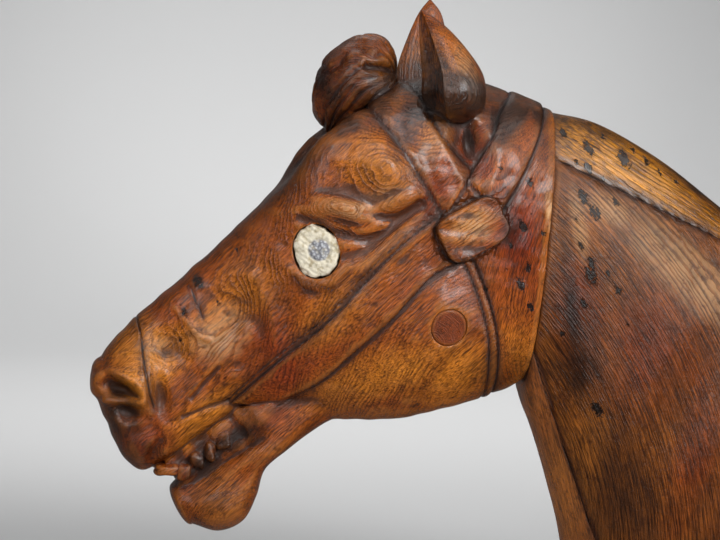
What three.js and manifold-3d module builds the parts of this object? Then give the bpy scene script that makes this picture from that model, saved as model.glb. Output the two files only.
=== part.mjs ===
// Head and neck of a carousel horse, carved in softwood glued up from blocks: a bust cut flat
// below the neck. Millimetres, +Z up. The horse looks along -X, its left side faces -Y, and the
// origin is the middle of the flat underside.
//
// The head block and the neck are lofts. Each ring of a loft lies in a plane that holds the Y
// direction, and is a superellipse between a point on the upper outline and one on the lower.
// Carved forms are then raised or sunk along the surface's own normal, and the bridle straps are
// the same surface grown outwards and kept only inside each strap's outline.
import * as THREE from "three";
import { mergeVertices } from "three/addons/utils/BufferGeometryUtils.js";
import Module from "manifold-3d";

const wasm = await Module();
wasm.setup();

// ---------------------------------------------------------------- driving sizes

const GLUE_GAP = 0.3; // between blocks that are glued face to face
const STRAP_RISE = 2; // how far the bridle's straps stand off the head
const BUST_REACH = 900; // longer than the whole bust: size of the cutting blocks

// Rings of the head block, from the glued face at the neck to the muzzle: where the ring meets
// the upper outline and the lower one (x, z), its half width, how far down the widest place is
// as a share of the ring's height, the squareness of its upper and lower halves, and the height
// of the two long ridges beside its crown.
const HEAD_RINGS = [
  { top: [-164, 485], low: [-188, 262], half: 53, widest: 0.5, upper: 2.3, lower: 2.6, ridge: 0 },
  { top: [-192, 497], low: [-205, 253], half: 57, widest: 0.48, upper: 2.3, lower: 2.8, ridge: 0 },
  { top: [-226, 508], low: [-231, 245], half: 61, widest: 0.46, upper: 2.4, lower: 3.0, ridge: 0 },
  { top: [-262, 513], low: [-262, 237], half: 64, widest: 0.42, upper: 2.5, lower: 3.0, ridge: 0 },
  { top: [-300, 500], low: [-296, 231], half: 66, widest: 0.38, upper: 2.7, lower: 2.9, ridge: 3 },
  { top: [-334, 473], low: [-325, 231], half: 67, widest: 0.34, upper: 2.9, lower: 2.7, ridge: 17 },
  { top: [-362, 446], low: [-348, 231], half: 64, widest: 0.34, upper: 3.0, lower: 2.6, ridge: 22 },
  { top: [-390, 419], low: [-372, 234], half: 56, widest: 0.38, upper: 2.8, lower: 2.6, ridge: 6 },
  { top: [-420, 391], low: [-398, 240], half: 48, widest: 0.44, upper: 2.6, lower: 2.7, ridge: 0 },
  { top: [-450, 363], low: [-424, 240], half: 43, widest: 0.5, upper: 2.5, lower: 2.8, ridge: 0 },
  { top: [-480, 337], low: [-447, 226], half: 40, widest: 0.52, upper: 2.5, lower: 2.9, ridge: 0 },
  { top: [-503, 317], low: [-466, 212], half: 40, widest: 0.5, upper: 2.6, lower: 2.9, ridge: 0 },
  { top: [-522, 298], low: [-482, 200], half: 41, widest: 0.46, upper: 2.7, lower: 2.7, ridge: 0 },
  { top: [-532, 285], low: [-494, 194], half: 39, widest: 0.45, upper: 2.7, lower: 2.6, ridge: 0 },
];
const NOSTRIL = { at: [-522, -44, 255], size: [16, 14, 20] }; // middle and half sizes, left side
const MUZZLE_END = { depth: 17, squareness: 2.6, rings: 4 }; // rounded end in front of the last ring
const HEAD_GRID = { along: 38, around: 36 };

// Rings of the lower jaw, from inside the head to the lower lip.
const JAW_RINGS = [
  { top: [-350, 300], low: [-328, 240], half: 26, widest: 0.5, upper: 2.2, lower: 2.2, ridge: 0 },
  { top: [-380, 256], low: [-360, 223], half: 37, widest: 0.5, upper: 2.4, lower: 2.2, ridge: 0 },
  { top: [-402, 224], low: [-382, 208], half: 40, widest: 0.5, upper: 2.6, lower: 2.2, ridge: 0 },
  { top: [-422, 210], low: [-400, 192], half: 38, widest: 0.5, upper: 2.6, lower: 2.1, ridge: 0 },
  { top: [-440, 200], low: [-407, 170], half: 38, widest: 0.55, upper: 2.4, lower: 2.1, ridge: 0 },
  { top: [-454, 191], low: [-418, 150], half: 38, widest: 0.6, upper: 2.2, lower: 2.1, ridge: 0 },
  { top: [-467, 184], low: [-438, 142], half: 35, widest: 0.6, upper: 2.2, lower: 2.1, ridge: 0 },
  { top: [-475, 179], low: [-459, 148], half: 29, widest: 0.5, upper: 2.3, lower: 2.2, ridge: 0 },
];
const LIP_END = { depth: 6, squareness: 2.4, rings: 3 };
const JAW_GRID = { along: 12, around: 20 };

// The gums between the lips, and the teeth that stand in them.
const GUM_RINGS = [
  { top: [-372, 272], low: [-356, 230], half: 32, widest: 0.5, upper: 3, lower: 3, ridge: 0 },
  { top: [-402, 258], low: [-388, 214], half: 39, widest: 0.5, upper: 3, lower: 3, ridge: 0 },
  { top: [-421, 250], low: [-404, 204], half: 40, widest: 0.5, upper: 3, lower: 3, ridge: 0 },
  { top: [-433, 243], low: [-417, 197], half: 31, widest: 0.5, upper: 4, lower: 4, ridge: 0 },
  { top: [-485, 207], low: [-466, 168], half: 25, widest: 0.5, upper: 4, lower: 4, ridge: 0 },
];
const GUM_GRID = { along: 4, around: 14 };
const TEETH = [ // middle and half sizes of those on the left
  { at: [-480, -17, 195], size: [10, 12, 6] },
  { at: [-465, -20, 194], size: [7, 9, 8] },
  { at: [-451, -21, 205], size: [7, 10, 8] },
  { at: [-437, -21, 216], size: [7, 10, 8] },
];

// Rings of the neck, from the flat underside up to the glued face at the head.
const NECK_RINGS = [
  { top: [180, 0], low: [-180, 0], half: 90, widest: 0.5, upper: 2.3, lower: 2.3, ridge: 0 },
  { top: [165, 88], low: [-154, 42], half: 87, widest: 0.55, upper: 2.2, lower: 2.3, ridge: 0 },
  { top: [145, 172], low: [-147, 78], half: 83, widest: 0.58, upper: 2.1, lower: 2.3, ridge: 0 },
  { top: [117, 247], low: [-148, 110], half: 78, widest: 0.6, upper: 2.0, lower: 2.3, ridge: 0 },
  { top: [82, 310], low: [-153, 140], half: 73, widest: 0.6, upper: 1.9, lower: 2.3, ridge: 0 },
  { top: [38, 363], low: [-161, 170], half: 68, widest: 0.6, upper: 1.9, lower: 2.3, ridge: 0 },
  { top: [-14, 402], low: [-169, 198], half: 63, widest: 0.58, upper: 1.9, lower: 2.3, ridge: 0 },
  { top: [-68, 443], low: [-177, 222], half: 58, widest: 0.56, upper: 1.9, lower: 2.3, ridge: 0 },
  { top: [-122, 473], low: [-184, 240], half: 54, widest: 0.53, upper: 2.0, lower: 2.4, ridge: 0 },
  { top: [-164, 483], low: [-189, 257], half: 51, widest: 0.5, upper: 2.2, lower: 2.5, ridge: 0 },
];
const NECK_GRID = { along: 16, around: 26 };
const NECK_FORMS = [
  { name: "behindJaw", at: [-166, 268], size: [30, 44], tilt: 0, rise: -5 },
  { name: "flank", at: [-60, 250], size: [90, 44], tilt: 60, rise: -2.5 },
];

// Glued faces between the neck's boards: two points (x, z) of each plane.
const CREST_JOINT = [[-165, 443], [-28, 379]];
const THROAT_JOINT = [[-176, 262], [-132, 128]];

// Rounded forms raised on both cheeks, and hollows sunk in them (rise below 0): where they lie
// in side view, their half length and half height, the tilt of their length, and their rise.
const FORMS = [
  { name: "temple", at: [-312, 438], size: [44, 32], tilt: -32, rise: 8 },
  { name: "browRoll", at: [-343, 405], size: [34, 14], tilt: -14, rise: 8 },
  { name: "upperRoll", at: [-300, 410], size: [28, 12], tilt: 20, rise: 4 },
  { name: "eyeSocket", at: [-364, 371], size: [29, 29], tilt: 0, rise: -4 },
  { name: "underLid", at: [-326, 374], size: [38, 14], tilt: 30, rise: -3 },
  { name: "longRoll", at: [-304, 374], size: [44, 13], tilt: 38, rise: 2.4 },
  { name: "cheek", at: [-272, 306], size: [78, 70], tilt: 10, rise: 7 },
  { name: "cheekPad", at: [-262, 322], size: [34, 34], tilt: 0, rise: 2 },
  { name: "jawBar", at: [-372, 240], size: [44, 18], tilt: 28, rise: -4 },
  { name: "roundHollow", at: [-430, 324], size: [34, 32], tilt: 0, rise: -4 },
  { name: "frontScoop", at: [-480, 295], size: [24, 24], tilt: 20, rise: -6 },
  { name: "nostrilWing", at: [-506, 266], size: [34, 26], tilt: 50, rise: 7 },
  { name: "upperLip", at: [-502, 216], size: [22, 16], tilt: 40, rise: 5 },
  { name: "mouthCorner", at: [-414, 230], size: [17, 18], tilt: 20, rise: -8 },
  { name: "earHollow", at: [-240, 452], size: [20, 36], tilt: 16, rise: -8 },
];

// Ridges and grooves that follow a line in side view: half width and rise.
const LINES = [
  {
    name: "lidFold", half: 6, rise: -5,
    path: [
      [-376, 398], [-365, 394], [-352, 387], [-339, 383], [-325, 381], [-312, 385], [-297, 396], [-283, 407],
    ],
  },
  {
    name: "templeFold", half: 6, rise: -3,
    path: [[-330, 402], [-320, 400], [-308, 397], [-296, 399], [-281, 408]],
  },
  {
    name: "facialRidge", half: 8, rise: 2.2,
    path: [[-412, 350], [-404, 332], [-398, 312], [-397, 292], [-402, 276]],
  },
  {
    name: "lipMuscle", half: 9, rise: 3.5,
    path: [[-418, 304], [-434, 290], [-450, 272], [-466, 254], [-482, 236]],
  },
];

// Bridle straps: the outline of each in side view, as its two edges from one end to the other.
const STRAPS = [
  {
    name: "browband",
    front: [[-340, 514], [-318, 483], [-295, 449], [-276, 419], [-262, 396]],
    rear: [[-296, 524], [-277, 490], [-271, 474], [-257, 453], [-238, 434]],
  },
  {
    name: "crownpiece",
    front: [[-186, 522], [-198, 499], [-213, 480], [-223, 458], [-244, 426]],
    rear: [[-160, 512], [-172, 484], [-182, 459], [-198, 428], [-216, 400]],
  },
  {
    name: "cheekpiece",
    front: [[-262, 404], [-268, 398], [-294, 378], [-322, 351], [-353, 317], [-398, 279], [-430, 248]],
    rear: [[-244, 368], [-252, 361], [-275, 349], [-303, 319], [-333, 291], [-360, 266], [-398, 243]],
  },
  {
    name: "throatStrap",
    front: [[-254, 368], [-245, 358], [-236, 337], [-229, 315], [-224, 287], [-222, 225]],
    rear: [[-244, 368], [-236, 358], [-228, 337], [-221, 315], [-216, 287], [-214, 225]],
  },
];
// The block where the straps meet: its whole length and height, how far it stands off the cheek
// and how deep it is set in.
const BOSS = { at: [-241, 388], size: [56, 39], corner: 13, tilt: 27, rise: 9, sunk: 9, bevel: 3 };

// Ears: points of the middle line from the root to the tip, with the half breadth seen from the
// side and the half thickness there. The right ear stands taller and further back.
const EARS = {
  left: [
    [-252, -46, 468, 0, 0],
    [-254, -56, 480, 22, 17],
    [-256, -60, 492, 27, 20],
    [-257, -59, 510, 26, 18],
    [-263, -55, 530, 20, 14],
    [-271, -51, 549, 11, 8],
    [-279, -47, 563, 0, 0],
  ],
  right: [
    [-258, 46, 462, 0, 0],
    [-262, 52, 482, 20, 15],
    [-264, 55, 500, 26, 18],
    [-263, 54, 522, 24, 16],
    [-259, 51, 545, 19, 12],
    [-256, 48, 566, 11, 8],
    [-255, 46, 579, 0, 0],
  ],
};
const EAR_OPENING = { depth: 0.7, half: 0.55, outwards: 0.3 }; // angles in radians from the front
const EAR_GRID = { along: 12, around: 14 };

// Forelock: a thick lock of mane that lies on the forehead. Points of its middle line, with its
// half thickness and half breadth there.
const FORELOCK = [
  [-342, 462, 0, 0],
  [-343, 474, 12, 18],
  [-341, 488, 20, 30],
  [-333, 502, 26, 36],
  [-322, 516, 27, 37],
  [-311, 528, 21, 31],
  [-302, 536, 12, 20],
  [-297, 540, 0, 0],
];
const LOCK_GRID = { along: 13, around: 22 };
const LOCK_ROOT = 1.35; // how much thicker the lock is on the side that joins the forehead
const LOCK_STRANDS = { count: 5, depth: 0.07, twist: 0.7 };

// Half sizes of the eye's oval, its depth and its dome's height; the plug's face lies a little low.
const EYE = { at: [-364, 371], size: [18, 21], tilt: 15, depth: 9, proud: 3, sides: 18 };
const CHEEK_PLUG = { at: [-259, 310], radius: 15, depth: 22, sunk: 0.4, sides: 20 };

// ---------------------------------------------------------------- small tools

const RING_STEPS = 160; // fine steps down one side of a ring, from which its points are spread
const ACROSS_WEIGHT = 0.6;
const degrees = Math.PI / 180;
const mix = (a, b, t) => a + (b - a) * t;
const signedPower = (x, p) => Math.sign(x) * Math.abs(x) ** p;

// Smooth course through a list of rows of numbers, t from 0 at the first row to 1 at the last.
function course(rows, t) {
  const last = rows.length - 1;
  const place = Math.min(Math.max(t, 0), 1) * last;
  const i = Math.min(Math.floor(place), last - 1);
  const f = place - i;
  return rows[i].map((value, k) => {
    const next = rows[i + 1][k];
    const slopeHere = i > 0 ? (next - rows[i - 1][k]) / 2 : next - value;
    const slopeNext = i < last - 1 ? (rows[i + 2][k] - value) / 2 : next - value;
    return (
      value * (1 + 2 * f) * (1 - f) ** 2 +
      slopeHere * f * (1 - f) ** 2 +
      next * f * f * (3 - 2 * f) +
      slopeNext * f * f * (f - 1)
    );
  });
}

// Distance in side view from (x, z) to a line of points.
function distanceTo(points, x, z) {
  let best = Infinity;
  for (let i = 0; i < points.length - 1; i++) {
    const [ax, az] = points[i];
    const [bx, bz] = points[i + 1];
    const length2 = (bx - ax) ** 2 + (bz - az) ** 2;
    const t = Math.min(Math.max(((x - ax) * (bx - ax) + (z - az) * (bz - az)) / length2, 0), 1);
    best = Math.min(best, Math.hypot(x - mix(ax, bx, t), z - mix(az, bz, t)));
  }
  return best;
}

const smoothLine = (points, steps = 20) =>
  Array.from({ length: steps + 1 }, (_, i) => course(points, i / steps));

// A mesh as a solid that can be joined and cut, and back again.
function solid(geometry) {
  const bare = geometry.index ? geometry.toNonIndexed() : geometry.clone();
  const points = new THREE.BufferGeometry().setAttribute("position", bare.getAttribute("position"));
  const merged = mergeVertices(points, 1e-4);
  return new wasm.Manifold(
    new wasm.Mesh({
      numProp: 3,
      vertProperties: new Float32Array(merged.attributes.position.array),
      triVerts: new Uint32Array(merged.index.array),
    }),
  );
}

function geometryOf(made) {
  const mesh = made.getMesh();
  const positions = new Float32Array(mesh.numVert * 3);
  for (let i = 0; i < mesh.numVert; i++)
    positions.set(mesh.vertProperties.subarray(i * mesh.numProp, i * mesh.numProp + 3), i * 3);
  return new THREE.BufferGeometry()
    .setAttribute("position", new THREE.BufferAttribute(positions, 3))
    .setIndex(new THREE.BufferAttribute(new Uint32Array(mesh.triVerts), 1));
}

// The same solid on the other side of the middle plane.
function mirrored(made) {
  const geometry = geometryOf(made).scale(1, -1, 1);
  return solid(geometry.setIndex([...geometry.index.array].reverse()));
}

// ---------------------------------------------------------------- lofted blocks

const rowOf = ({ top, low, half, widest, upper, lower, ridge }) => [
  ...top, ...low, half, widest, upper, lower, ridge,
];

function ringPoint([topX, topZ, lowX, lowZ, half, widest, upper, lower, ridge], share) {
  const angle = 2 * Math.PI * share;
  const above = Math.cos(angle) > 0;
  const power = 2 / (above ? upper : lower);
  const down = -signedPower(Math.cos(angle), power);
  const height = Math.hypot(topX - lowX, topZ - lowZ);
  const lift = above ? (ridge / height) * Math.sin(2 * angle) ** 2 : 0;
  const s = (down < 0 ? widest * (1 + down) : widest + (1 - widest) * down) - lift;
  return new THREE.Vector3(
    mix(topX, lowX, s),
    -half * signedPower(Math.sin(angle), power),
    mix(topZ, lowZ, s),
  );
}

// Rings of a loft as rows of numbers, with a rounded end if one is asked for.
function ringRows(rings, count, roundEnd) {
  const table = rings.map(rowOf);
  const rows = Array.from({ length: count + 1 }, (_, i) => course(table, i / count));
  if (!roundEnd) return rows;
  const [topX, topZ, lowX, lowZ, half, ...shape] = rows[count];
  const length = Math.hypot(lowX - topX, lowZ - topZ);
  const forward = [(lowZ - topZ) / length, -(lowX - topX) / length];
  for (let i = 1; i <= roundEnd.rings; i++) {
    const angle = (i / roundEnd.rings) * 86 * degrees;
    const scale = Math.cos(angle) ** (2 / roundEnd.squareness);
    const push = roundEnd.depth * Math.sin(angle) ** (2 / roundEnd.squareness);
    const middle = [(topX + lowX) / 2 + forward[0] * push, (topZ + lowZ) / 2 + forward[1] * push];
    const reach = [((lowX - topX) / 2) * scale, ((lowZ - topZ) / 2) * scale];
    rows.push([
      middle[0] - reach[0], middle[1] - reach[1], middle[0] + reach[0], middle[1] + reach[1],
      half * scale, ...shape,
    ]);
  }
  return rows;
}

// Points spread evenly round a ring, the same on both sides of the middle plane. The way across
// counts less than the way down, so that the cheeks get more of the points.
function evenRing(row, around) {
  const fine = Array.from({ length: RING_STEPS + 1 }, (_, k) => ringPoint(row, k / RING_STEPS / 2));
  const travelled = [0];
  for (let k = 1; k <= RING_STEPS; k++) {
    const step = fine[k].clone().sub(fine[k - 1]);
    travelled.push(travelled[k - 1] + Math.hypot(step.x, step.z, step.y * ACROSS_WEIGHT));
  }
  const half = around / 2;
  const left = [fine[0]];
  for (let j = 1, k = 1; j < half; j++) {
    const goal = (travelled[RING_STEPS] * j) / half;
    while (travelled[k] < goal) k++;
    const share = (goal - travelled[k - 1]) / (travelled[k] - travelled[k - 1]);
    left.push(fine[k - 1].clone().lerp(fine[k], share));
  }
  const right = left.slice(1).map((p) => new THREE.Vector3(p.x, -p.y, p.z)).reverse();
  return [...left, fine[RING_STEPS].setY(0), ...right];
}

// Points of a loft with the carving put on, row by row. grow moves the whole skin outwards.
function carvedRows(rows, around, relief, grow) {
  const plain = rows.map((row) => evenRing(row, around));
  const last = rows.length - 1;
  return plain.map((ring, i) =>
    ring.map((point, j) => {
      const before = plain[Math.max(i - 1, 0)][j];
      const after = plain[Math.min(i + 1, last)][j];
      const left = ring[(j + around - 1) % around];
      const right = ring[(j + 1) % around];
      const alongLoft = after.clone().sub(before);
      const aroundRing = right.clone().sub(left);
      const normal = alongLoft.cross(aroundRing).normalize();
      if (!Number.isFinite(normal.x) || normal.lengthSq() < 0.5) return point.clone();
      return point.clone().addScaledVector(normal, relief(point.x, point.z) + grow);
    }),
  );
}

// Closed mesh over rows of points, flat at the first row and the last.
function closedLoft(rows) {
  const around = rows[0].length;
  const places = rows.flat();
  const faces = [];
  const at = (i, j) => i * around + ((j + around) % around);
  for (let i = 0; i < rows.length - 1; i++)
    for (let j = 0; j < around; j++)
      faces.push(at(i, j), at(i + 1, j), at(i, j + 1), at(i, j + 1), at(i + 1, j), at(i + 1, j + 1));
  const flatEnd = (i, turned) => {
    for (let j = 0; j < around / 2; j++) {
      const quad = [at(i, j), at(i, j + 1), at(i, around - j - 1), at(i, around - j)];
      const [a, b, c, d] = turned ? quad : [...quad].reverse();
      if (a !== d && b !== c) faces.push(a, b, c, a, c, d);
      else if (b !== c) faces.push(a, b, c);
      else faces.push(a, b, d);
    }
  };
  flatEnd(0, true);
  flatEnd(rows.length - 1, false);
  const positions = new Float32Array(places.flatMap((p) => [p.x, p.y, p.z]));
  return new THREE.BufferGeometry()
    .setAttribute("position", new THREE.BufferAttribute(positions, 3))
    .setIndex(faces);
}

// ---------------------------------------------------------------- carving

// A rounded form: 1 in its middle and 0 from its rim outwards.
function formShare({ at, size, tilt }, x, z) {
  const c = Math.cos(tilt * degrees);
  const s = Math.sin(tilt * degrees);
  const a = ((x - at[0]) * c + (z - at[1]) * s) / size[0];
  const b = ((z - at[1]) * c - (x - at[0]) * s) / size[1];
  return Math.max(1 - a * a - b * b, 0) ** 2;
}

const lines = LINES.map((line) => ({ ...line, points: smoothLine(line.path) }));

function headRelief(x, z) {
  let rise = 0;
  for (const form of FORMS) rise += form.rise * formShare(form, x, z);
  for (const line of lines)
    rise += line.rise * Math.exp(-((distanceTo(line.points, x, z) / line.half) ** 2));
  return rise;
}

const neckRelief = (x, z) =>
  NECK_FORMS.reduce((rise, form) => rise + form.rise * formShare(form, x, z), 0);
const noRelief = () => 0;
const loft = (rings, grid, roundEnd, relief, grow) =>
  solid(closedLoft(carvedRows(ringRows(rings, grid.along, roundEnd), grid.around, relief, grow)));

const headSkin = (grow) => loft(HEAD_RINGS, HEAD_GRID, MUZZLE_END, headRelief, grow);
const headSurface = carvedRows(
  ringRows(HEAD_RINGS, HEAD_GRID.along, MUZZLE_END), HEAD_GRID.around, headRelief, 0,
);

// The place on the head's left side at (x, z) in side view, and the way the surface faces there.
function placeOnHead(at) {
  const rows = headSurface;
  const half = HEAD_GRID.around / 2;
  let best = Infinity;
  let found = null;
  for (let i = 1; i < HEAD_GRID.along; i++)
    for (let j = 1; j < half; j++) {
      const p = rows[i][j];
      const d = Math.hypot(p.x - at[0], p.z - at[1]);
      if (d < best) {
        best = d;
        const across = rows[i][j + 1].clone().sub(rows[i][j - 1]);
        const down = rows[i + 1][j].clone().sub(rows[i - 1][j]);
        const point = new THREE.Vector3(at[0], p.y, at[1]);
        found = { point, normal: down.cross(across).normalize() };
      }
    }
  return found;
}

// A shape drawn in the plane of a place on the head, with its depth along the surface's normal.
function setOnHead(geometry, place, tilt) {
  const out = place.normal;
  const alongX = new THREE.Vector3(1, 0, 0).addScaledVector(out, -out.x).normalize();
  const upwards = out.clone().cross(alongX).normalize();
  const basis = new THREE.Matrix4().makeBasis(alongX, upwards, out);
  return geometry
    .applyMatrix4(new THREE.Matrix4().makeRotationZ(tilt * degrees))
    .applyMatrix4(basis)
    .applyMatrix4(new THREE.Matrix4().makeTranslation(...place.point.toArray()));
}

// The outline of a strap pushed right through the head, from side to side.
function strapCutter({ front, rear }) {
  const edge = [...smoothLine(front, 8), ...smoothLine(rear, 8).reverse()];
  const shape = new THREE.Shape(edge.map(([x, z]) => new THREE.Vector2(x, z)));
  const depth = BUST_REACH;
  return solid(
    new THREE.ExtrudeGeometry(shape, { depth, bevelEnabled: false, steps: 1 })
      .rotateX(Math.PI / 2)
      .translate(0, depth / 2, 0),
  );
}

function bossSolid() {
  const [w, h] = BOSS.size;
  const r = BOSS.corner;
  const shape = new THREE.Shape();
  shape.moveTo(-w / 2 + r, -h / 2);
  shape.lineTo(w / 2 - r, -h / 2);
  shape.absarc(w / 2 - r, -h / 2 + r, r, -Math.PI / 2, 0);
  shape.absarc(w / 2 - r, h / 2 - r, r, 0, Math.PI / 2);
  shape.absarc(-w / 2 + r, h / 2 - r, r, Math.PI / 2, Math.PI);
  shape.absarc(-w / 2 + r, -h / 2 + r, r, Math.PI, 1.5 * Math.PI);
  const block = new THREE.ExtrudeGeometry(shape, {
    depth: BOSS.rise + BOSS.sunk - BOSS.bevel,
    bevelThickness: BOSS.bevel,
    bevelSize: BOSS.bevel,
    bevelOffset: -BOSS.bevel,
    bevelSegments: 2,
    curveSegments: 3,
  }).translate(0, 0, -BOSS.sunk);
  return solid(setOnHead(block, placeOnHead(BOSS.at), BOSS.tilt));
}

// ---------------------------------------------------------------- ears and forelock

// Closed mesh of a limb-like form: a ring function over t from 0 to 1 with a point at each end.
function spindle(along, around, pointAt) {
  const places = [pointAt(0, 0)];
  for (let i = 1; i < along; i++)
    for (let j = 0; j < around; j++) places.push(pointAt(i / along, j / around));
  places.push(pointAt(1, 0));
  const faces = [];
  const tip = places.length - 1;
  const at = (i, j) => 1 + (i - 1) * around + (j % around);
  for (let j = 0; j < around; j++) {
    faces.push(0, at(1, j + 1), at(1, j));
    for (let i = 1; i < along - 1; i++)
      faces.push(at(i, j), at(i, j + 1), at(i + 1, j), at(i, j + 1), at(i + 1, j + 1), at(i + 1, j));
    faces.push(tip, at(along - 1, j), at(along - 1, j + 1));
  }
  const positions = new Float32Array(places.flatMap((p) => [p.x, p.y, p.z]));
  const made = new THREE.BufferGeometry()
    .setAttribute("position", new THREE.BufferAttribute(positions, 3))
    .setIndex(faces);
  const closed = solid(made);
  if (closed.volume() > 0) return closed;
  return solid(new THREE.BufferGeometry().copy(made).setIndex(faces.reverse()));
}

// Ear: side is -1 for the left one and 1 for the right one.
function earSolid(line, side) {
  return spindle(EAR_GRID.along, EAR_GRID.around, (t, share) => {
    const [x, y, z, broad, thick] = course(line, t);
    const angle = 2 * Math.PI * share;
    const fromMouth = Math.abs(Math.atan2(
      Math.sin(angle - EAR_OPENING.outwards), Math.cos(angle - EAR_OPENING.outwards),
    ));
    const scoop = EAR_OPENING.depth * Math.exp(-((fromMouth / EAR_OPENING.half) ** 2));
    return new THREE.Vector3(
      x - broad * (Math.cos(angle) - scoop * Math.sin(Math.PI * t)),
      y + side * thick * Math.sin(angle),
      z,
    );
  });
}

function forelockSolid() {
  return spindle(LOCK_GRID.along, LOCK_GRID.around, (t, share) => {
    const [x, z, thick, broad] = course(FORELOCK, t);
    const [aheadX, aheadZ] = course(FORELOCK, Math.min(t + 0.03, 1));
    const [behindX, behindZ] = course(FORELOCK, Math.max(t - 0.03, 0));
    const away = new THREE.Vector3(behindZ - aheadZ, 0, aheadX - behindX).normalize();
    const angle = 2 * Math.PI * share;
    const turn = angle + LOCK_STRANDS.twist * 2 * Math.PI * (t - 0.5);
    const girth = 1 + LOCK_STRANDS.depth * Math.cos(LOCK_STRANDS.count * turn);
    return new THREE.Vector3(x, 0, z)
      .addScaledVector(away, thick * girth * Math.cos(angle) * (Math.cos(angle) < 0 ? LOCK_ROOT : 1))
      .add(new THREE.Vector3(0, broad * girth * Math.sin(angle), 0));
  });
}

const ball = ({ at, size }) =>
  solid(new THREE.SphereGeometry(1, 7, 5).scale(...size).translate(...at));

// ---------------------------------------------------------------- eye fillings and cheek plugs

function ovalRod(size, length, sides) {
  return new THREE.CylinderGeometry(1, 1, length, sides)
    .rotateX(Math.PI / 2)
    .scale(size[0], size[1], 1)
    .translate(0, 0, -length / 2);
}

function eyePocket() {
  const grown = EYE.size.map((s) => s + GLUE_GAP);
  const hole = ovalRod(grown, EYE.depth + GLUE_GAP + 20, EYE.sides).translate(0, 0, 20);
  return solid(setOnHead(hole, placeOnHead(EYE.at), EYE.tilt));
}

// The filling: a disc of putty with a domed face.
function eyeFilling() {
  const profile = [new THREE.Vector2(0, -EYE.depth), new THREE.Vector2(1, -EYE.depth)];
  const steps = 4;
  for (let i = 0; i <= steps; i++) {
    const angle = ((i / steps) * Math.PI) / 2;
    profile.push(new THREE.Vector2(Math.cos(angle) || 0, EYE.proud * Math.sin(angle)));
  }
  profile[profile.length - 1].x = 0;
  const lathe = new THREE.LatheGeometry(profile, EYE.sides)
    .rotateX(Math.PI / 2)
    .scale(EYE.size[0], EYE.size[1], 1);
  return solid(setOnHead(lathe, placeOnHead(EYE.at), EYE.tilt));
}

function plugRod(extra, top) {
  const { at, radius, depth, sides } = CHEEK_PLUG;
  const rod = ovalRod([radius + extra, radius + extra], depth + extra + top, sides).translate(0, 0, top);
  return solid(setOnHead(rod, placeOnHead(at), 0));
}

// ---------------------------------------------------------------- the blocks

function headBlock() {
  const grown = headSkin(STRAP_RISE);
  let made = headSkin(0)
    .add(loft(JAW_RINGS, JAW_GRID, LIP_END, noRelief, 0))
    .add(loft(GUM_RINGS, GUM_GRID, null, noRelief, 0));
  for (const strap of STRAPS) made = made.add(grown.intersect(strapCutter(strap)));
  const boss = bossSolid();
  const pairs = [boss, ...TEETH.map(ball)];
  for (const one of pairs) made = made.add(one).add(mirrored(one));
  made = made.add(earSolid(EARS.left, -1)).add(earSolid(EARS.right, 1)).add(forelockSolid());
  for (const hole of [eyePocket(), plugRod(GLUE_GAP, 20), ball(NOSTRIL)])
    made = made.subtract(hole).subtract(mirrored(hole));
  return made;
}

// Everything on one side of a plane through two points of the side view: a large block whose
// face is that plane, moved back by gap. side 1 is to the left of the way from a to b.
function halfSpace([a, b], side, gap) {
  const angle = Math.atan2(b[1] - a[1], b[0] - a[0]);
  const block = new THREE.BoxGeometry(2 * BUST_REACH, BUST_REACH, BUST_REACH)
    .translate(0, 0, (side * BUST_REACH) / 2 + side * gap)
    .rotateY(-angle)
    .translate(a[0], 0, a[1]);
  return solid(block);
}

// ---------------------------------------------------------------- the parts, in their places

const colours = {
  headWood: 0xa8642a, neckWood: 0x7c4a26, crestWood: 0xb9812f,
  throatWood: 0x8f5326, putty: 0xd8cfb6, plugWood: 0x7a3a18,
};

function part(name, made, colour, roughness) {
  const material = new THREE.MeshStandardMaterial({ color: colour, roughness, metalness: 0 });
  const mesh = new THREE.Mesh(geometryOf(made), material);
  mesh.name = name;
  return mesh;
}

const headJoint = [HEAD_RINGS[0].top, HEAD_RINGS[0].low];
const behindHead = halfSpace(headJoint, 1, GLUE_GAP);
const neckWhole = loft(NECK_RINGS, NECK_GRID, null, neckRelief, 0).intersect(behindHead);
const crest = neckWhole.intersect(halfSpace(CREST_JOINT, 1, 0));
const throat = neckWhole
  .subtract(halfSpace(CREST_JOINT, 1, -1))
  .intersect(halfSpace(THROAT_JOINT, -1, 0));
const core = neckWhole
  .intersect(halfSpace(CREST_JOINT, -1, GLUE_GAP))
  .intersect(halfSpace(THROAT_JOINT, 1, GLUE_GAP));

const horse = new THREE.Group();
horse.add(
  part("head_block", headBlock(), colours.headWood, 0.45),
  part("neck_core", core, colours.neckWood, 0.5),
  part("crest_board", crest, colours.crestWood, 0.5),
  part("throat_board", throat, colours.throatWood, 0.5),
  part("eye_filling_left", eyeFilling(), colours.putty, 0.9),
  part("eye_filling_right", mirrored(eyeFilling()), colours.putty, 0.9),
  part("cheek_plug_left", plugRod(0, -CHEEK_PLUG.sunk), colours.plugWood, 0.5),
  part("cheek_plug_right", mirrored(plugRod(0, -CHEEK_PLUG.sunk)), colours.plugWood, 0.5),
);

export default horse;
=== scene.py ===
import math

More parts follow.
